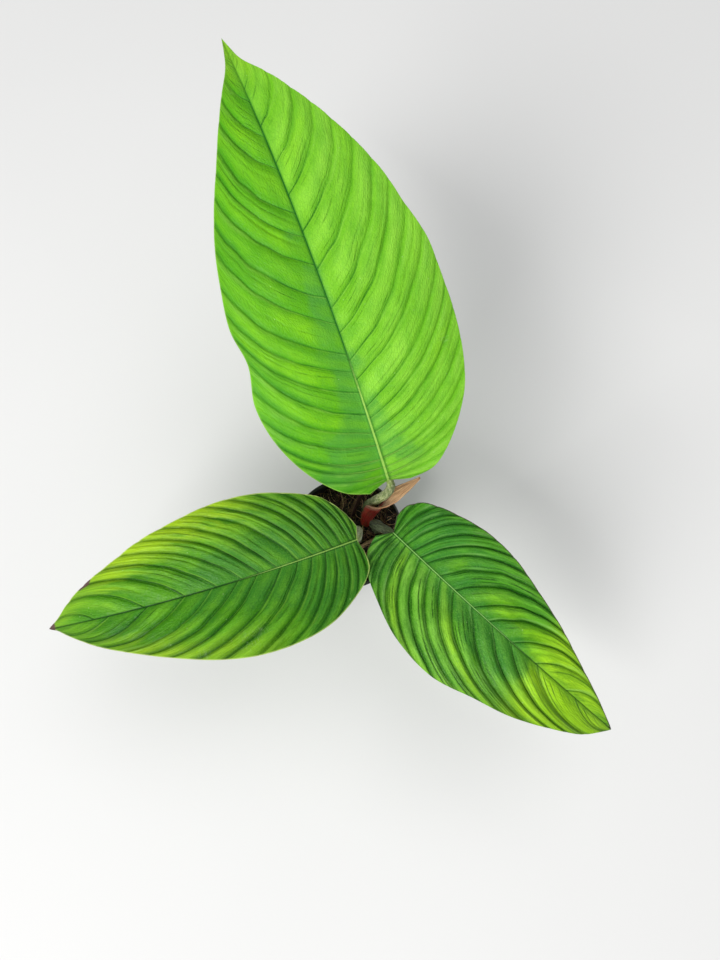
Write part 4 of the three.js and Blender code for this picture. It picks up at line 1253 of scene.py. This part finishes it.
# Each row holds the values of the large, the left and the right leaf
LEAF_LOOKS = {
    "seed": (3, 7, 11),
    "rib_share": (0.42, 0.45, 0.7),
    "near_width": (0.5, 0.55, 0.55),
    "far_width": (1.9, 1.2, 1.1),
    # The next two rows set the width and the amount of the painted shade beside the veins.
    "band": (4.2, 4.6, 3.2),
    "shade_band_amount": (0.6, 0.8, 0.7),
    "plain_to": (60.0, 95.0, 60.0),
    "plain_bands": (0.5, 0.35, 0.7),
    "plain_side": ("right", "left", "left"),
    "far_left": (0.6, 0.85, 0.85),
    "far_right": (0.13, 0.6, 0.75),
    "main_amount": (0.85, 0.95, 0.95),
    "weak_amount": (0.28, 0.4, 0.85),
    "line_amount": (0.06, 0.12, 0.14),
    # The next three rows set the painted highlight line beside the veins and the painted highlight on the lit
    # ridges.
    "highlight_line": (0.3, 0.3, 0.35),
    "vein_highlight": ((0.3, 0.62, 0.09), (0.25, 0.48, 0.05), (0.26, 0.52, 0.14)),
    "ridge_highlight_amount": (0.8, 0.85, 0.85),
    "shade_amount": (0.3, 0.45, 0.5),
    "roughness": (0.4, 0.36, 0.36),
    "gloss": (0.14, 0.13, 0.14),
    # The next two rows set how much painted bluish sheen lies beside the midrib and in the spots.
    "rib_sheen": (0.25, 0.3, 0.4),
    "sheen_amount": (0.75, 0.75, 0.7),
    "tip_veins": (0.25, 0.9, 0.9),
    "warm_amount": (0.7, 0.7, 0.75),
    "margin_reach": (5.0, 26.0, 8.0),
    "margin_left": (0.15, 0.3, 0.05),
    "margin_right": (0.1, 0.85, 0.3),
    "margin_from": (0.0, 42.0, 20.0),
    # The green of each half of a leaf; the large leaf's paler, whiter right half is partly its own colour and
    # partly painted sheen.
    "left": ((0.075, 0.335, 0.002), (0.035, 0.19, 0.003), (0.026, 0.18, 0.003)),
    "right": ((0.15, 0.46, 0.012), (0.06, 0.25, 0.004), (0.06, 0.27, 0.006)),
    "pale_and_lit_left": ((0.155, 0.48, 0.012), (0.13, 0.38, 0.018), (0.125, 0.42, 0.028)),
    "pale_and_lit_right": ((0.26, 0.63, 0.045), (0.16, 0.41, 0.02), (0.23, 0.57, 0.06)),
    "yellow": ((0.22, 0.58, 0.004), (0.4, 0.62, 0.012), (0.33, 0.66, 0.01)),
    "deep": ((0.05, 0.28, 0.012), (0.012, 0.1, 0.002), (0.013, 0.115, 0.003)),
    "vein": ((0.012, 0.14, 0.01), (0.003, 0.045, 0.002), (0.003, 0.05, 0.003)),
    "bluish_sheen": ((0.075, 0.31, 0.04), (0.03, 0.17, 0.018), (0.028, 0.18, 0.022)),
    "pale": ((0.33, 0.6, 0.1), (0.24, 0.45, 0.08), (0.24, 0.52, 0.12)),
    "pale_to": (75.0, 75.0, 110.0),
    "pale_veins": (0.85, 0.1, 0.1),
    "rib_width": (0.9, 0.55, 0.45),
    "rib_shade": (0.5, 0.7, 0.7),
    "rib_tip": (0.12, 0.6, 0.7),
    "tip": ((0.32, 0.6, 0.02), (0.15, 0.37, 0.02), (0.42, 0.74, 0.02)),
    "tip_from": (240.0, 165.0, 100.0),
    "tip_amount": (0.9, 0.5, 0.85),
    "edge": ((0.3, 0.55, 0.08), (0.55, 0.68, 0.2), (0.07, 0.055, 0.035)),
    "edge_left": (0.6, 0.5, 0.85),
    "edge_right": (0.25, 0.75, 0.1),
    "dry_light": ((0.3, 0.21, 0.17), (0.16, 0.1, 0.085), (0.3, 0.21, 0.17)),
    "below": ((0.16, 0.36, 0.06), (0.12, 0.28, 0.06), (0.11, 0.27, 0.06)),
    "below_light": ((0.22, 0.42, 0.09), (0.17, 0.33, 0.09), (0.16, 0.32, 0.09)),
}
# Spots of each leaf as (along, out, reach, amount): warm yellow patches, painted bluish sheen, dry patches
# and scuffs.
LEAF_SPOTS = {
    "blade_large": {
        "warm": [(149, 18, 24, 0.8), (99, 20, 24, 1), (102, 44, 20, 0.8), (80, 42, 30, 1),
                 (67, 25, 26, 1), (55, 42, 18, 0.6), (39, 19, 18, 0.8), (69, -55, 20, 0.8),
                 (199, -16, 24, 0.7), (224, 12, 16, 0.8), (121, -58, 22, 0.6), (189, -43, 22, 0.6),
                 (189, 11, 16, 0.5)],
        "cool": [(150, 3, 9, 0.6), (128, 4, 9, 0.7), (110, 5, 10, 0.8), (92, 6, 10, 0.8),
                 (74, 7, 10, 0.8), (56, 6, 10, 0.8), (38, 6, 10, 0.8), (20, 8, 11, 0.8),
                 (12, 26, 14, 0.7), (8, 44, 14, 0.5), (30, 24, 12, 0.4), (70, -3, 6, 0.5),
                 (45, -4, 8, 0.6), (24, -8, 11, 0.8), (12, -18, 10, 0.5)],
        "dry": [],
        "scuff": [(67, -57, 3, 0.8)],
    },
    "blade_left": {
        "warm": [(139, -36, 20, 0.9), (107, -43, 16, 0.9), (118, -39, 20, 1), (139, 26, 14, 0.9),
                 (125, 31, 14, 1), (105, 36, 9, 0.5), (84, 38, 8, 0.4), (158, -27, 14, 0.6)],
        "cool": [(43, -6, 20, 0.8), (22, 8, 20, 0.9), (14, -12, 18, 1), (67, -8, 18, 0.7),
                 (95, -8, 16, 0.6), (37, 34, 18, 0.6), (18, 24, 16, 0.8), (70, 14, 16, 0.5),
                 (100, 16, 16, 0.5), (130, -6, 14, 0.6), (152, 8, 14, 0.5)],
        "dry": [(173, -25, 4.2, 1.4), (178, -22.5, 3.4, 1.2), (115, 38, 2.4, 0.9), (210, 0, 7.5, 1.4)],
        "scuff": [(77, 37, 5, 0.9), (69, 31, 4, 0.5), (103, 37, 4, 0.5)],
    },
    "blade_right": {
        "warm": [(34, 10, 12, 0.5), (20, -9, 10, 0.7), (34, -33, 20, 0.7), (44, -40, 20, 0.5),
                 (78, -30, 22, 0.8), (58, -12, 16, 0.5), (77, 12, 13, 0.7), (87, 9, 16, 0.9),
                 (105, 12, 14, 0.8), (117, 4, 12, 0.6), (126, -17, 24, 1), (145, -4, 18, 1),
                 (131, -6, 14, 0.9), (158, -8, 14, 0.9), (98, -34, 20, 0.6)],
        "cool": [(95, -6, 13, 0.9), (74, -4, 13, 0.8), (8, -23, 14, 0.9), (4, -12, 10, 0.8),
                 (60, 2, 12, 0.6), (106, -8, 10, 0.8), (45, -4, 12, 0.7), (11, 17, 16, 0.7),
                 (30, 22, 16, 0.6), (86, -12, 12, 0.7), (25, 6, 12, 0.6), (55, 28, 14, 0.5)],
        "dry": [],
        "scuff": [(129, -26, 4, 0.5)],
    },
}
STALK = {
    "streak": 3.0, "fold": 0.7, "base": (0.1, 0.15, 0.035), "streaks": (0.34, 0.39, 0.17),
    "scurf": 0.7, "scurf_colour": (0.6, 0.62, 0.4), "top": 0.8, "top_from": 0.86,
    "top_colour": (0.3, 0.42, 0.1), "foot": 0.85, "foot_to": 0.5, "foot_colour": (0.05, 0.075, 0.02),
    "roughness": 0.55, "depth": 0.0009,
}
PALE_STALK = dict(STALK, base=(0.18, 0.2, 0.11), streaks=(0.4, 0.42, 0.28), foot_to=0.3, foot=0.5)
OLIVE_STALK = dict(STALK, base=(0.03, 0.04, 0.015), streaks=(0.085, 0.11, 0.05), scurf=0.35,
                   scurf_colour=(0.2, 0.24, 0.15), top_colour=(0.05, 0.08, 0.02), foot_to=0.3, foot=0.3,
                   foot_colour=(0.14, 0.17, 0.09))
STEM_SKIN = dict(STALK, base=(0.07, 0.08, 0.03), streaks=(0.14, 0.14, 0.07), top=0.0, fold=0.4)
ROOT_SKIN = dict(STALK, base=(0.14, 0.08, 0.04), streaks=(0.36, 0.24, 0.13), scurf=0.4,
                 scurf_colour=(0.45, 0.34, 0.2), top=0.0, foot=0.0, roughness=0.75, depth=0.0003)
FRESH_SHEATH = {
    "foot": (0.32, 0.012, 0.008), "foot_streak": (0.56, 0.06, 0.04), "limb": (0.46, 0.24, 0.11),
    "limb_streak": (0.76, 0.5, 0.27), "change": (0.4, 0.5), "mouth": (0.6, 0.33, 0.22), "mouth_amount": 0.6,
    "lines": 12.0, "blotch": (0.26, 0.1, 0.04), "blotch_amount": 0.4, "border": (0.3, 0.13, 0.07),
    "border_amount": 0.4, "roughness": 0.42,
}
DRIED_SHEATH = {
    "foot": (0.03, 0.01, 0.009), "foot_streak": (0.1, 0.04, 0.03), "limb": (0.06, 0.022, 0.018),
    "limb_streak": (0.22, 0.12, 0.07), "change": (0.3, 0.9), "mouth": (0.2, 0.1, 0.07), "mouth_amount": 0.1,
    "lines": 9.0, "blotch": (0.03, 0.012, 0.01), "blotch_amount": 0.6, "border": (0.2, 0.11, 0.07),
    "border_amount": 0.4, "roughness": 0.75,
}
BARK_TONES = ((0.005, 0.004, 0.003), (0.04, 0.02, 0.01), (0.2, 0.11, 0.055))
COIR_TONES = ((0.03, 0.014, 0.007), (0.24, 0.12, 0.05), (0.7, 0.46, 0.25))


# Making it

build_room()
groups = {"veins": vein_group(), "skin": skin_group()}

for number, (node, sizes) in enumerate(BLADES.items()):
    look = dict(LEAF_SPOTS[node], **{label: values[number] for label, values in LEAF_LOOKS.items()})
    blade = build_blade(node + "_quilted", sizes, look)
    settle(blade, node, leaf_material(node + "_skin", groups, look))

stalk_looks = (("silvery_stalk", STALK), ("pale_stalk", PALE_STALK), ("olive_stalk", OLIVE_STALK))
stalk_skins = [stalk_material(name, groups, look) for name, look in stalk_looks]
for number, (node, sizes) in enumerate(PETIOLES.items()):
    reach = petiole_reach(sizes["radii"], 60 + number)
    stalk = build_tube(node + "_wrinkled", sizes["route"], reach, 220, 56)
    settle(stalk, node, stalk_skins[number])
settle(build_tube("ringed_stem", STEM["route"], stem_reach, 120, 48), "stem",
       stalk_material("stem_skin", groups, STEM_SKIN))
settle(build_tube("aerial_root", ROOT["route"], root_reach, 160, 20), "root",
       stalk_material("root_skin", groups, ROOT_SKIN))

fresh = build_sheath("fresh_sheath", SHEATHS["cataphyll_fresh"], 5, 31, 0.5)
settle(fresh, "cataphyll_fresh", sheath_material("red_and_tan_sheath", FRESH_SHEATH))
dried = build_sheath("dried_sheath", SHEATHS["cataphyll_old"], 3, 37, 0.9)
settle(dried, "cataphyll_old", sheath_material("dried_brown_sheath", DRIED_SHEATH))

settle(build_pot(), "pot", pot_material())

random = Random(5)
mix_body = build_mix_body()
bark = litter_material("split_bark", BARK_TONES, 500.0, 0.9)
coir = litter_material("coir_fibre", COIR_TONES, 900.0, 0.8)
chips = scatter("bark_chips", mix_body, chip_shapes(random, 9), bark, Count_per_square_metre=42000.0, Seed=4,
                Smallest=0.55, Largest=1.15, Tilt=0.6, Raise=0.0005, Lowest=0.0600)
fibres = scatter("coir_fibres", mix_body, fibre_shapes(random, 9), coir, Seed=9,
                 Count_per_square_metre=150000.0, Smallest=0.5, Largest=1.1, Tilt=0.5, Raise=0.0014,
                 Lowest=0.0600)
keep_inside_pot(chips)
keep_inside_pot(fibres)
settle(mix_body, "soil", mix_body_material())
settle(chips, "soil", None)
settle(fibres, "soil", None)
